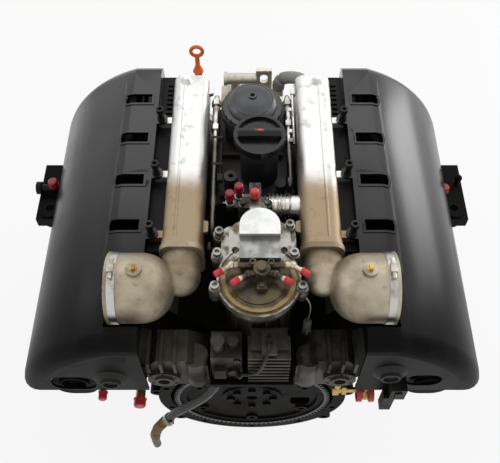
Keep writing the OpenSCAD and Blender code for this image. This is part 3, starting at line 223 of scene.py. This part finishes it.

# %% [markdown]
# The pump's top is several finishes on one casting. Its D pad is painted bright, partly as wiped
# clean metal and partly as a painted highlight of the light from above, and the flat round it is
# grey. The round lid at the near end is brown with oil and carries a painted golden highlight as a
# ring inside its rim, and the neck at the far end is black with soot.
# Each is a mask of height, length or radius, in metres. The ports are dark at their hub and pale
# at their tips.
# %% Pump top and ports
def pump_top():
    s = Shop("pump_top")
    fray = s.ragged(60, 5)
    high, long = s.along("Z"), s.along("Y") + fray * 2
    radius = s.from_axis(0.010, 0.044) + fray
    # The pad's top is painted bright: partly wiped clean metal, partly a painted highlight.
    pad = s.step(high, 0.3815, 0.3835)
    flat = s.step(high, 0.373, 0.3755)
    near = s.step(long, 0.082, 0.060) * s.step(high, 0.352, 0.350)
    lid = s.step(radius, 0.0600, 0.0575) * near
    # The ring inside the lid's rim is a painted golden highlight.
    ring = s.step(radius, 0.0470, 0.0495) * s.step(radius, 0.0560, 0.0535) * near
    neck = s.step(long, 0.142, 0.150)
    patch = s.step(s.cloud(45, 5), 0.42, 0.6)
    bright = s.blend(patch * 0.15, (0.66, 0.67, 0.66), (0.42, 0.41, 0.37))
    grey = s.blend(patch * 0.6, (0.35, 0.355, 0.345), (0.17, 0.16, 0.13))
    oiled = s.blend(patch, (0.080, 0.052, 0.015), (0.030, 0.020, 0.007))
    sooty = s.blend(patch, (0.13, 0.12, 0.10), (0.035, 0.030, 0.025))
    tone = s.blend(patch, (0.38, 0.37, 0.34), (0.13, 0.105, 0.07))
    for mask, finish in ((flat, grey), (pad, bright), (lid, oiled),
                         (ring * 0.8, (0.33, 0.215, 0.060)), (neck, sooty)):
        tone = s.blend(mask, tone, finish)
    s.set(Base_Color=tone, Metallic=0.75 - lid * 0.3, Coat_Weight=lid * 0.35,
          Roughness=patch * 0.14 + lid * 0.06 - pad * 0.02 + 0.30,
          Normal=s.relief(s.cloud(700, 2) + s.cloud(90, 3), 0.0005))
    s.shader.inputs["Coat Roughness"].default_value = 0.18
    return s.material


def port_top():
    s = Shop("port_top")
    hub = s.step(s.from_axis(0.014, 0.054) + s.ragged(80, 4), 0.0370, 0.0320)
    patch = s.step(s.cloud(70, 4), 0.42, 0.62)
    tips = s.blend(patch, (0.70, 0.64, 0.52), (0.42, 0.33, 0.20))
    oiled = s.blend(patch, (0.105, 0.082, 0.046), (0.036, 0.027, 0.016))
    s.set(Base_Color=s.blend(hub, tips, oiled), Metallic=0.6 - hub * 0.3,
          Roughness=patch * 0.14 + 0.3, Normal=s.relief(s.cloud(800, 2), 0.0003))
    return s.material


pump_metal = pump_top()
port_metal = port_top()
# The pump's body below its rim is painted dark: a painted shade for the shadow under its top.
pump_body_shade = cast("pump_body_shade", (0.095, 0.080, 0.058), (0.026, 0.021, 0.015), metal=0.5,
                 rough=(0.36, 0.6))
print("pump metals made")

# %% [markdown]
# The side covers are moulded black plastic, handled and wiped for years.
# They are glossy but never clean: a faint brown film, long scuffs from front to back,
# and a slightly wavy skin that breaks up the reflections.
# Their gloss is a coat that has lasted best on the crown, and fades towards the near end.
# %% Moulded blacks
def moulded(name, tone, film, rough, wave=0.0008, spec=0.35, grain=1600, grain_depth=0.00005,
            gloss=0.0):
    s = Shop(name)
    dirt = s.step(s.cloud(5, 6), 0.42, 0.72)
    rub = s.step(s.cloud(26, 5, stretch=(1, 0.16, 1)), 0.52, 0.72)
    shade = s.blend(dirt, tone, film)
    shade = s.blend(rub * 0.25, shade, tuple(c * 2.4 + 0.003 for c in film))
    skin = s.cloud(3.2, 2) + s.cloud(grain, 2) * (grain_depth / wave)
    s.set(Base_Color=shade, Metallic=0.0, Roughness=dirt * 0.16 + rub * 0.14 + rough,
          Normal=s.relief(skin, wave, 0.5))
    if gloss:
        crown = s.step(s.away("X"), 0.29, 0.23)
        long = s.along("Y")
        far = s.step(long, -0.02, 0.30) * 0.85 + s.step(long, -0.035, 0.04) * 0.15
        s.set(Coat_Weight=far * (1 - dirt * 0.3) * (crown * (1 - gloss) + gloss))
    s.shader.inputs["Coat Roughness"].default_value = 0.22
    s.shader.inputs["Specular IOR Level"].default_value = spec
    return s.material


cover_black = moulded("cover_black", (0.0045, 0.0046, 0.0050), (0.0090, 0.0085, 0.0075), 0.31,
                      spec=0.05, gloss=0.50)
part_black = moulded("part_black", (0.007, 0.007, 0.008), (0.018, 0.016, 0.013), 0.38,
                     wave=0.0003, spec=0.12)
cap_grey = moulded("cap_grey", (0.036, 0.041, 0.046), (0.070, 0.072, 0.072), 0.28,
                   wave=0.0002, grain=2200, spec=0.6)
house_grey = moulded("house_grey", (0.014, 0.014, 0.015), (0.040, 0.036, 0.030), 0.4,
                     wave=0.0003)
cap_black = moulded("cap_black", (0.007, 0.007, 0.008), (0.018, 0.017, 0.016), 0.2,
                    wave=0.0002)
rubber_black = moulded("rubber_black", (0.009, 0.009, 0.009), (0.022, 0.021, 0.019), 0.55,
                       wave=0.0002)
plug_grey = moulded("plug_grey", (0.10, 0.10, 0.095), (0.05, 0.045, 0.035), 0.45, wave=0.0002)
hose_grey = moulded("hose_grey", (0.40, 0.41, 0.40), (0.27, 0.26, 0.23), 0.45, wave=0.0003)
bell_black = moulded("bell_black", (0.004, 0.0038, 0.0034), (0.010, 0.008, 0.006), 0.55,
                     wave=0.0005, spec=0.06, grain=900, grain_depth=0.00025)
print("moulded finishes made")

# %% [markdown]
# The breather hose is black rubber above, then golden brown where its bend is moulded in nylon,
# and black again at its end. The change follows height, with a narrow worn edge.
# %% Breather hose
def breather_finish():
    s = Shop("breather_skin")
    high = s.along("Z")
    bend = s.step(high, 0.050, 0.044) * s.step(high, -0.048, -0.042)
    patch = s.step(s.cloud(70, 4), 0.42, 0.65)
    tone = s.blend(patch, (0.009, 0.009, 0.009), (0.024, 0.021, 0.017))
    tone = s.blend(bend, tone, s.blend(patch, (0.30, 0.19, 0.07), (0.14, 0.085, 0.035)))
    s.set(Base_Color=tone, Roughness=patch * 0.15 + 0.36,
          Normal=s.relief(s.cloud(300, 3), 0.0002))
    return s.material


hose_brown = breather_finish()
print("breather finish made")

# %% [markdown]
# Turned and plated steel has a fine lay from the tool and dulls in patches.
# The lay is a stretched noise in the bump, and the dulling is in the roughness.
# %% Steel and brass
def tool_lay(s, stretch):
    return s.relief(s.cloud(420, 3, stretch=stretch), 0.00012)


def plated(name, tone, dull, rough=0.28, metal=1.0):
    s = Shop(name)
    patch = s.step(s.cloud(38, 5), 0.45, 0.7)
    s.set(Base_Color=s.blend(patch, tone, dull), Metallic=metal, Roughness=patch * 0.22 + rough,
          Normal=tool_lay(s, (1, 1, 14)))
    return s.material


steel = plated("steel", (0.56, 0.55, 0.53), (0.30, 0.27, 0.22))
bolt_steel = plated("bolt_steel", (0.30, 0.29, 0.27), (0.13, 0.115, 0.09), rough=0.3)
nut_steel = plated("nut_steel", (0.56, 0.56, 0.54), (0.34, 0.31, 0.26), rough=0.26)
black_steel = plated("black_steel", (0.022, 0.022, 0.023), (0.06, 0.05, 0.04), rough=0.36,
                     metal=0.7)
brass = plated("brass", (0.55, 0.36, 0.13), (0.22, 0.14, 0.06), rough=0.32)
gear_steel = plated("gear_steel", (0.42, 0.41, 0.40), (0.22, 0.19, 0.15), rough=0.32)


def pipe_finish():
    s = Shop("pipe_steel")
    far = s.step(s.along("Y") + s.cloud(40, 3) * 0.02, 0.315, 0.335)
    patch = s.step(s.cloud(60, 4), 0.45, 0.7)
    tone = s.blend(far, (0.10, 0.095, 0.085), (0.66, 0.66, 0.64))
    tone = s.blend(patch * 0.6, tone, (0.22, 0.19, 0.15))
    s.set(Base_Color=tone, Metallic=1.0, Roughness=patch * 0.2 + 0.26,
          Normal=tool_lay(s, (14, 1, 14)))
    return s.material


def bellows_finish():
    s = Shop("bellows_steel")
    # The lower side is painted gold and darker than the pale top: a painted shade of the light
    # from above.
    shaded_gold = s.step(s.along("Z") + s.cloud(120, 3) * 0.006, 0.327, 0.317)
    patch = s.step(s.cloud(60, 4), 0.5, 0.75)
    tone = s.blend(patch, (0.90, 0.90, 0.88), (0.62, 0.58, 0.48))
    s.set(Base_Color=s.blend(shaded_gold, tone, (0.62, 0.46, 0.20)), Metallic=1.0,
          Roughness=patch * 0.2 + 0.24, Normal=tool_lay(s, (14, 1, 1)))
    return s.material


pipe_steel = pipe_finish()
bellows_steel = bellows_finish()
print("steels made")

# %% [markdown]
# Transport caps, the dipstick's handle and the filter's paper are the few bright things.
# They are soft plastics and paper, so their colour varies a little and their skin is smooth.
# %% Bright plastics and paper
def soft_plastic(name, tone, deep, rough):
    s = Shop(name)
    patch = s.step(s.cloud(80, 4), 0.4, 0.7)
    s.set(Base_Color=s.blend(patch, tone, deep), Roughness=patch * 0.12 + rough,
          Normal=s.relief(s.cloud(500, 2), 0.00008))
    return s.material


def cap_reds():
    s = Shop("cap_red")
    older = s.step(s.along("Y"), 0.150, 0.155) * s.step(s.along("X"), -0.008, -0.012)
    patch = s.step(s.cloud(80, 4), 0.4, 0.7)
    fresh = s.blend(patch, (0.74, 0.05, 0.06), (0.52, 0.03, 0.04))
    faded = s.blend(patch, (0.34, 0.012, 0.03), (0.20, 0.008, 0.018))
    s.set(Base_Color=s.blend(older, fresh, faded), Roughness=patch * 0.12 + 0.3,
          Normal=s.relief(s.cloud(500, 2), 0.00008))
    return s.material


cap_red = cap_reds()
handle_orange = soft_plastic("handle_orange", (0.86, 0.17, 0.02), (0.62, 0.10, 0.015), 0.34)
paper = soft_plastic("paper", (0.62, 0.52, 0.34), (0.44, 0.33, 0.18), 0.8)
print("bright finishes made")

# %% [markdown]
# Each solid piece takes one finish. A table by name is easier to check than a line for each.
# The solid pieces are never moved or reshaped, only given their material.
# %% Finishes on the solid pieces
finish_of = {
    "crankcase": block_cast, "bedplate": block_cast, "sump": silver_cast, "drain_plug": brass,
    "main_bearings": steel, "gear_housing": bell_black, "front_cover": silver_cast,
    "head_left": head_cast, "head_right": head_cast, "cam_covers": part_black,
    "side_cover_left": cover_black, "side_cover_right": cover_black,
    "cover_plugs": rubber_black, "cover_strips": part_black,
    "exhaust_manifold_left": heat_cast, "exhaust_manifold_right": heat_cast,
    "intake_tube_left": tube_cast, "intake_tube_right": tube_cast,
    "intake_elbow_left": elbow_cast, "intake_elbow_right": elbow_cast,
    "clamp_bands": steel, "lug_bolts": black_steel, "filter_housing": house_grey,
    "fuel_pipe_left": pipe_steel, "fuel_pipe_right": pipe_steel, "union_nuts": nut_steel,
    "coolant_bridge": beige_cast, "coolant_hose": hose_grey,
    "pump_body": pump_body_shade, "pump_cover": pump_metal, "port_distributor": port_metal,
    "transport_caps": cap_red, "pump_bolts": bolt_steel, "bellows_pipe": bellows_steel,
    "dipstick_tube": black_steel, "rib_housing_left": rib_cast, "rib_housing_right": rib_cast,
    "finned_block": dark_cast, "valve_block": dark_cast, "breather_pipe": hose_brown,
    "brass_fittings": brass, "mount_arm_left": bell_black, "mount_arm_right": bell_black,
    "side_elbow": part_black, "plug_connector": part_black, "crankshaft": gear_steel,
    "drive_plate": bell_black, "ring_gear": black_steel, "damper": black_steel,
    "idler_gear_left": gear_steel, "idler_gear_right": gear_steel,
    "camshaft_left": gear_steel, "camshaft_right": gear_steel,
    "flap_left": brass, "flap_right": brass, "filter_element": paper,
    "filter_cap": cap_grey, "filler_seal": rubber_black, "filler_cap": cap_black,
    "dipstick": handle_orange,
}
for name, node in nodes.items():
    node.data.materials.clear()
    node.data.materials.append(finish_of[name])
print(len(finish_of), "pieces finished")

# %% [markdown]
# Small parts are turned, cut from plates or run along a curve. Each form starts in its own bmesh,
# near the origin, and is then turned and moved to its seat. Before a piece becomes a mesh its
# doubles are merged and its faces are turned outwards, because a spin can leave a seam and may
# turn a form inside out.
# %% Bench tools
touching = 0.00001


def seat(part, bm, at=(0, 0, 0), axis=(0, 0, 1), roll=0.0):
    """Turns a small form, moves it to its seat and adds it to the piece being made."""
    lean = Vector((0, 0, 1)).rotation_difference(Vector(axis)).to_matrix()
    turn = lean @ Matrix.Rotation(roll, 3, "Z")
    bmesh.ops.rotate(part, verts=part.verts, cent=(0, 0, 0), matrix=turn)
    bmesh.ops.translate(part, verts=part.verts, vec=at)
    carrier = bpy.data.meshes.new("carrier")
    part.to_mesh(carrier)
    part.free()
    bm.from_mesh(carrier)
    bpy.data.meshes.remove(carrier)


def turned(bm, profile, at, axis=(0, 0, 1), steps=32, closed=False):
    """Spins a line of (radius, height) pairs round an axis."""
    part = bmesh.new()
    line = [part.verts.new((radius, 0, height)) for radius, height in profile]
    pairs = list(zip(line, line[1:])) + ([(line[-1], line[0])] if closed else [])
    edges = [part.edges.new(pair) for pair in pairs]
    bmesh.ops.spin(part, geom=line + edges, cent=(0, 0, 0), axis=(0, 0, 1), angle=math.tau,
                   steps=steps, use_merge=True)
    seat(part, bm, at, axis)


def hoop(bm, radius, thick, at, axis=(0, 0, 1), steps=32):
    """A round wire bent into a ring."""
    sides = 8
    bends = [math.tau * k / sides for k in range(sides)]
    circle = [(radius + thick * math.cos(a), thick * math.sin(a)) for a in bends]
    turned(bm, circle, at, axis, steps, closed=True)


def plate(bm, width, length, at, roll=0.0):
    """A flat plate, cut into small fields so that it can be bent."""
    cuts = 6
    part = bmesh.new()
    bmesh.ops.create_grid(part, x_segments=cuts, y_segments=cuts, size=0.5)
    bmesh.ops.scale(part, verts=part.verts, vec=(width, length, 1))
    seat(part, bm, at, roll=roll)


def block(bm, size, at, axis=(0, 0, 1)):
    """A small block with rounded edges."""
    rounding = 0.0008
    part = bmesh.new()
    bmesh.ops.create_cube(part, size=1)
    bmesh.ops.scale(part, verts=part.verts, vec=size)
    bmesh.ops.bevel(part, geom=part.edges[:], offset=rounding, segments=2, affect="EDGES",
                    profile=0.5, material=-1)
    seat(part, bm, at, axis)


def finished(name, bm, finish, body="engine", angle=40, tidy=True):
    """Makes the piece, smooth up to an angle, and lets it ride on its body."""
    if tidy:
        bmesh.ops.remove_doubles(bm, verts=bm.verts, dist=touching)
        bmesh.ops.recalc_face_normals(bm, faces=bm.faces)
    mesh = bpy.data.meshes.new(name)
    bm.to_mesh(mesh)
    bm.free()
    for face in mesh.polygons:
        face.use_smooth = True
    mesh.set_sharp_from_angle(angle=math.radians(angle))
    mesh.materials.append(finish)
    made = bpy.data.objects.new(name, mesh)
    bpy.context.scene.collection.objects.link(made)
    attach(made, body)
    print(name, len(mesh.polygons), "faces")
    return made


def wire(name, points, radius, rounds, finish):
    """A smooth curve past the points, with a round section."""
    line = bpy.data.curves.new(name, "CURVE")
    line.dimensions = "3D"
    line.bevel_depth = radius
    line.bevel_resolution = rounds
    line.resolution_u = 8
    line.use_fill_caps = True
    spline = line.splines.new("NURBS")
    spline.points.add(len(points) - 1)
    for point, at in zip(spline.points, points):
        point.co = (*at, 1)
    spline.use_endpoint_u = True
    line.materials.append(finish)
    made = bpy.data.objects.new(name, line)
    bpy.context.scene.collection.objects.link(made)
    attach(made, "engine")
    print(name, len(points), "points")


def ribs(low, high, length, count):
    """A profile that rises and falls along its length."""
    pitch = length / count
    line = [(0, 0)]
    for k in range(count):
        line += [(low, k * pitch), (low, (k + 0.35) * pitch),
                 (high, (k + 0.5) * pitch), (high, (k + 0.8) * pitch)]
    return line + [(low, length), (0, length)]

# %% [markdown]
# The arched covers and the two bent hoses arrive as loose flat triangles, so each shows its flats.
# A copy with its corners merged can be shaded smooth up to an angle, which keeps real edges crisp.
# The copy then stands for the solid, in the same place and of the same size. The normals that came
# with the loose triangles no longer fit the merged corners, so they are dropped.
# %% Smooth skins for the faceted pieces
def smooth_skin(name, angle):
    bm = bmesh.new()
    bm.from_mesh(nodes[name].data)
    bmesh.ops.remove_doubles(bm, verts=bm.verts, dist=touching)
    skin = finished(name + "_skin", bm, finish_of[name], "engine", angle, tidy=False)
    if "custom_normal" in skin.data.attributes:
        skin.data.attributes.remove(skin.data.attributes["custom_normal"])
    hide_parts(name)


for name in ("side_cover_left", "side_cover_right"):
    smooth_skin(name, 14)
for name in ("coolant_hose", "breather_pipe"):
    smooth_skin(name, 50)

# %% [markdown]
# The fuel pipes are thicker between their two union nuts, where a sleeve is pressed on.
# It is one turned form with a taper at each end, laid along the pipe.
# Below them runs a ribbed conduit, and a ribbed grommet seats the right-hand pipe in the deck.
# %% Pipe sleeves, conduit and grommet
bm = bmesh.new()
sleeve_end, bore, wall, taper = 0.3895, 0.0046, 0.0064, 0.003
for side, start in ((-1, 0.3505), (1, 0.3585)):
    run = sleeve_end - start
    turned(bm, [(bore, 0), (wall, taper), (wall, run - taper), (bore, run)],
           (side * 0.061, start, 0.334), (0, 1, 0))
finished("pipe_sleeves", bm, nut_steel)

conduit_x, conduit_z, clip_ys = -0.0515, 0.329, (0.262, 0.318)
bm = bmesh.new()
turned(bm, ribs(0.0028, 0.0036, 0.084, 21), (conduit_x, 0.244, conduit_z), (0, 1, 0), steps=16)
block(bm, (0.010, 0.014, 0.009), (conduit_x, 0.239, conduit_z))
for y in clip_ys:
    block(bm, (0.018, 0.005, 0.003), (-0.0565, y, 0.3375))
turned(bm, ribs(0.0066, 0.0086, 0.020, 4), (0.061, 0.226, 0.2925), steps=24)
finished("conduit_and_grommet", bm, rubber_black)

# %% [markdown]
# The two older caps sit on stubs, each held by a bent wire clip at its base.
# A hoop is a circle spun round a centre. One end of the wire sticks out a little, as it does when
# such a clip is squeezed with pliers.
# %% Wire clips under the caps
bm = bmesh.new()
for x, y, z in ((-0.034, 0.182, 0.3425), (-0.020, 0.194, 0.3425)):
    hoop(bm, 0.0066, 0.0008, (x, y, z), (0.1, 0.1, 1))
    block(bm, (0.0050, 0.0016, 0.0016), (x - 0.0085, y - 0.001, z))
finished("wire_clips", bm, nut_steel)

# %% [markdown]
# Oil fillers carry a small oil-can sign, moulded in orange on the grip.
# Body, spout, cap, neck and drop are flat plates and the handle is a flat ring. All are bent
# over the round of the grip and then thickened.
# %% Oil-can sign
grip_x, grip_y, grip_z, grip_r = 0.012, 0.2785, 0.3928, 0.0086
bm = bmesh.new()
plate(bm, 0.0072, 0.0030, (0.0004, 0, 0))  # body
plate(bm, 0.0050, 0.0009, (-0.0048, 0.0012, 0), roll=-0.5)  # spout
plate(bm, 0.0030, 0.0008, (0.0000, 0.0023, 0))  # cap
plate(bm, 0.0008, 0.0014, (0.0000, 0.0018, 0))  # neck
plate(bm, 0.0010, 0.0014, (-0.0078, -0.0002, 0), roll=0.78)  # drop
turned(bm, [(0.0010, 0), (0.0017, 0)], (0.0050, 0.0004, 0), steps=20)  # handle
for v in bm.verts:
    v.co.z = math.sqrt(grip_r ** 2 - v.co.y ** 2)
bmesh.ops.translate(bm, verts=bm.verts, vec=(grip_x, grip_y, grip_z))
bmesh.ops.recalc_face_normals(bm, faces=bm.faces)
bmesh.ops.solidify(bm, geom=bm.faces[:], thickness=-0.0002)
finished("oil_sign", bm, handle_orange, "filler_cap")

# %% [markdown]
# The breather's lower bend is corrugated so that it can flex, and a steel band clamps the rubber
# above it. The rings follow the hose: between known points of its line, each ring is set square
# to the way the hose runs there.
# %% Breather bend and clamp
bend_line = [Vector(p) for p in ((-0.1500, -0.0642, 0.0385), (-0.1650, -0.0660, 0.0080),
                                 (-0.1740, -0.0660, -0.0280), (-0.1755, -0.0660, -0.0440))]
ring_pitch = 0.0052
bm = bmesh.new()
for a, b in zip(bend_line, bend_line[1:]):
    count = round((b - a).length / ring_pitch)
    for k in range(count):
        hoop(bm, 0.0076, 0.0015, a.lerp(b, k / count), b - a, steps=28)
finished("breather_ribs", bm, hose_brown)
bm = bmesh.new()
clamp_at = Vector((-0.1420, -0.0634, 0.0520))
clamp_way = Vector((-0.50, -0.04, -0.86)).normalized()
inner, outer, half = 0.0078, 0.0092, 0.0045
turned(bm, [(inner, -half), (outer, -half), (outer, half), (inner, half)], clamp_at, clamp_way,
       closed=True)
block(bm, (0.008, 0.006, 0.008), clamp_at + Vector((0.002, -0.0105, 0.002)), clamp_way)
screw_at = clamp_at + Vector((0.004, -0.0105, 0.006))
turned(bm, [(0, 0), (0.0026, 0), (0.0026, 0.006), (0, 0.006)], screw_at, (0.86, 0, 0.5), steps=6)
finished("breather_clamp", bm, bolt_steel)

# %% [markdown]
# A moulded lead runs from the plug on the finned block down its ribs to the valve beside it.
# It is stiff, so a curve with a round section is enough, and its two plugs are small ribbed
# sockets.
# %% Lead over the fins
wire("fin_lead", ((0.025, -0.036, 0.3065), (0.024, -0.048, 0.3090), (0.021, -0.0590, 0.3060),
                  (0.018, -0.0615, 0.2900), (0.013, -0.0610, 0.2620), (0.004, -0.0595, 0.2400),
                  (-0.012, -0.0560, 0.2310), (-0.022, -0.0530, 0.2270)), 0.0026, 4, rubber_black)
bm = bmesh.new()
turned(bm, ribs(0.0048, 0.0058, 0.012, 4), (0.025, -0.034, 0.3035), steps=20)
turned(bm, ribs(0.0042, 0.0050, 0.009, 3), (-0.0215, -0.0510, 0.2268), (0.6, -0.8, 0.1), steps=20)
finished("lead_plugs", bm, part_black)

# %% [markdown]
# Round the castings run rows of flanged bolts. One bolt is a turned washer face with a six-sided
# head, which is the same spin with only six steps, and a shallow dish in its top.
# The rows follow the flanges of the sump, the bedplate and the front cover, and the pairs
# along the bedplate repeat with the cylinders.
# %% Flange bolts
cylinder_pitch = 0.088


def hex_bolt(bm, at, axis, across=0.0105):
    """A flanged head. Across is its width over the flats, and most sizes follow from it."""
    washer, chamfer, dish = 0.0018, 0.0008, 0.0012
    top, corner = washer + across * 0.6, across * 0.577
    turned(bm, [(0, 0), (across * 0.78, 0), (across * 0.72, washer), (0, washer)], at, axis,
           steps=20)
    turned(bm, [(corner, washer), (corner, top - chamfer), (across * 0.48, top),
                (across * 0.32, top), (across * 0.26, top - dish), (0, top - dish)],
           at, axis, steps=6)


sump_rail, bedplate_rail, front_face = -0.074, 0.016, 0.526
front_bolts = ((0.124, -0.054), (0.064, -0.054), (0.132, 0.007), (0.132, 0.062), (0.159, 0.088),
               (0.186, 0.1155), (0.0586, 0.129), (0.086, 0.1567), (0.1136, 0.184))
bm = bmesh.new()
for side in (-1, 1):
    for k in range(8):
        hex_bolt(bm, (side * 0.122, 0.072 + k * 0.060, sump_rail), (0, 0, -1))
    for k in range(5):
        for start in (0.096, 0.114):
            at = (side * 0.131, start + k * cylinder_pitch, bedplate_rail)
            hex_bolt(bm, at, (0, 0, 1), 0.013)
    for x, z in front_bolts:
        hex_bolt(bm, (side * x, front_face, z), (0, 1, 0))
finished("flange_bolts", bm, steel)

# %% [markdown]
# The casting's water jacket is closed by pressed steel cups, one below each cylinder.
# A cup is one turned line: a rim, a rounded inner wall and a flat floor.
# %% Core plugs
cup = [(0.0178, -0.0006), (0.0178, 0.0014), (0.0166, 0.0020), (0.0156, 0.0010),
       (0.0146, -0.0004), (0, -0.0004)]
bm = bmesh.new()
for side in (-1, 1):
    for k in range(5):
        at = (side * 0.1646, 0.116 + k * cylinder_pitch, 0.0826)
        turned(bm, cup, at, (side, 0, -1), steps=28)
finished("core_plugs", bm, bolt_steel)

# %% [markdown]
# Beside the pump a sensor plug is held by a bent wire that is trapped under the pump's bolt.
# The plug is a ribbed grey moulding with a flat latch, and its holder is a thin round wire.
# %% Sensor plug on its wire holder
wire("plug_holder", ((0.0705, 0.0290, 0.3300), (0.0790, 0.0230, 0.3290), (0.0860, 0.0170, 0.3200),
                     (0.0850, 0.0110, 0.3020), (0.0825, 0.0070, 0.2880), (0.0825, 0.0070, 0.2760)),
     0.0013, 3, bolt_steel)
plug_x, plug_y = 0.0825, 0.0070
bm = bmesh.new()
turned(bm, ribs(0.0052, 0.0064, 0.022, 6), (plug_x, plug_y, 0.2620), steps=24)
block(bm, (0.0130, 0.0105, 0.0150), (plug_x, plug_y, 0.2555))
block(bm, (0.0050, 0.0040, 0.0180), (plug_x, 0.0000, 0.2600))
finished("sensor_plug", bm, plug_grey)

# %% [markdown]
# The floor is one plain pale sheet that meets the engine's lowest face.
# Seen directly it is nearly white, through an emission that only rays from the camera or from a
# reflection meet, and a little of its own shading is left in, so that it keeps the shadow.
# The engine is lit by the world and four large soft lamps: the sky, a window at the right and
# one lamp at each side.
# %% Floor, backdrop and lamps
low = cad_box[0][2]
bm = bmesh.new()
bmesh.ops.create_grid(bm, x_segments=1, y_segments=1, size=6)
bmesh.ops.translate(bm, verts=bm.verts, vec=(0, 0, low))
floor = bpy.data.objects.new("floor", bpy.data.meshes.new("floor"))
bm.to_mesh(floor.data)
bm.free()
bpy.context.scene.collection.objects.link(floor)
s = Shop("floor_sheet")
sheet_tone = s.blend(s.cloud(1.5, 3) * 0.3, (0.86, 0.86, 0.86), (0.82, 0.82, 0.82))
s.set(Base_Color=sheet_tone, Roughness=0.7)
white = s.make("ShaderNodeEmission", None, {"Color": (1, 1, 1), "Strength": 1.0})
lit = Flow(s, s.shader.outputs[0])
shown = s.make("ShaderNodeMixShader", None, {0: s.looked_at() * 0.86, 1: lit, 2: white})
s.tree.links.new(shown.socket, s.tree.nodes["Material Output"].inputs["Surface"])
floor.data.materials.append(s.material)

world = bpy.data.worlds.new("studio")
world.use_nodes = True
bpy.context.scene.world = world
sky = Tree(world.node_tree)
backdrop = sky.tree.nodes["Background"]
backdrop.inputs["Color"].default_value = (1, 1, 1, 1)
sky.feed(backdrop.inputs["Strength"], sky.looked_at() * 0.54 + 0.40)


def lamp(name, place, aim, size, power):
    """A rectangle of light that the camera itself doesn't see."""
    made = bpy.data.objects.new(name, bpy.data.lights.new(name, "AREA"))
    made.data.shape = "RECTANGLE"
    made.data.size, made.data.size_y = size
    made.data.energy = power
    made.visible_camera = False
    made.location = place
    made.rotation_euler = (Vector(aim) - Vector(place)).to_track_quat("-Z", "Y").to_euler()
    bpy.context.scene.collection.objects.link(made)


lamp("sky_lamp", (0, 1.7, 2.3), (0, 0.3, 0.1), (2.8, 1.6), 13.2)
lamp("window_lamp", (2.3, 1.7, 0.55), (0.27, 0.38, 0.28), (1.4, 1.2), 26)
lamp("left_lamp", (-2.0, 0.5, 1.7), (0, 0.2, 0.1), (0.9, 1.8), 9)
lamp("right_lamp", (2.0, 0.5, 1.7), (0, 0.2, 0.1), (0.9, 1.8), 9)
bpy.context.scene.view_settings.view_transform = "Standard"
print("floor at", round(low, 3))
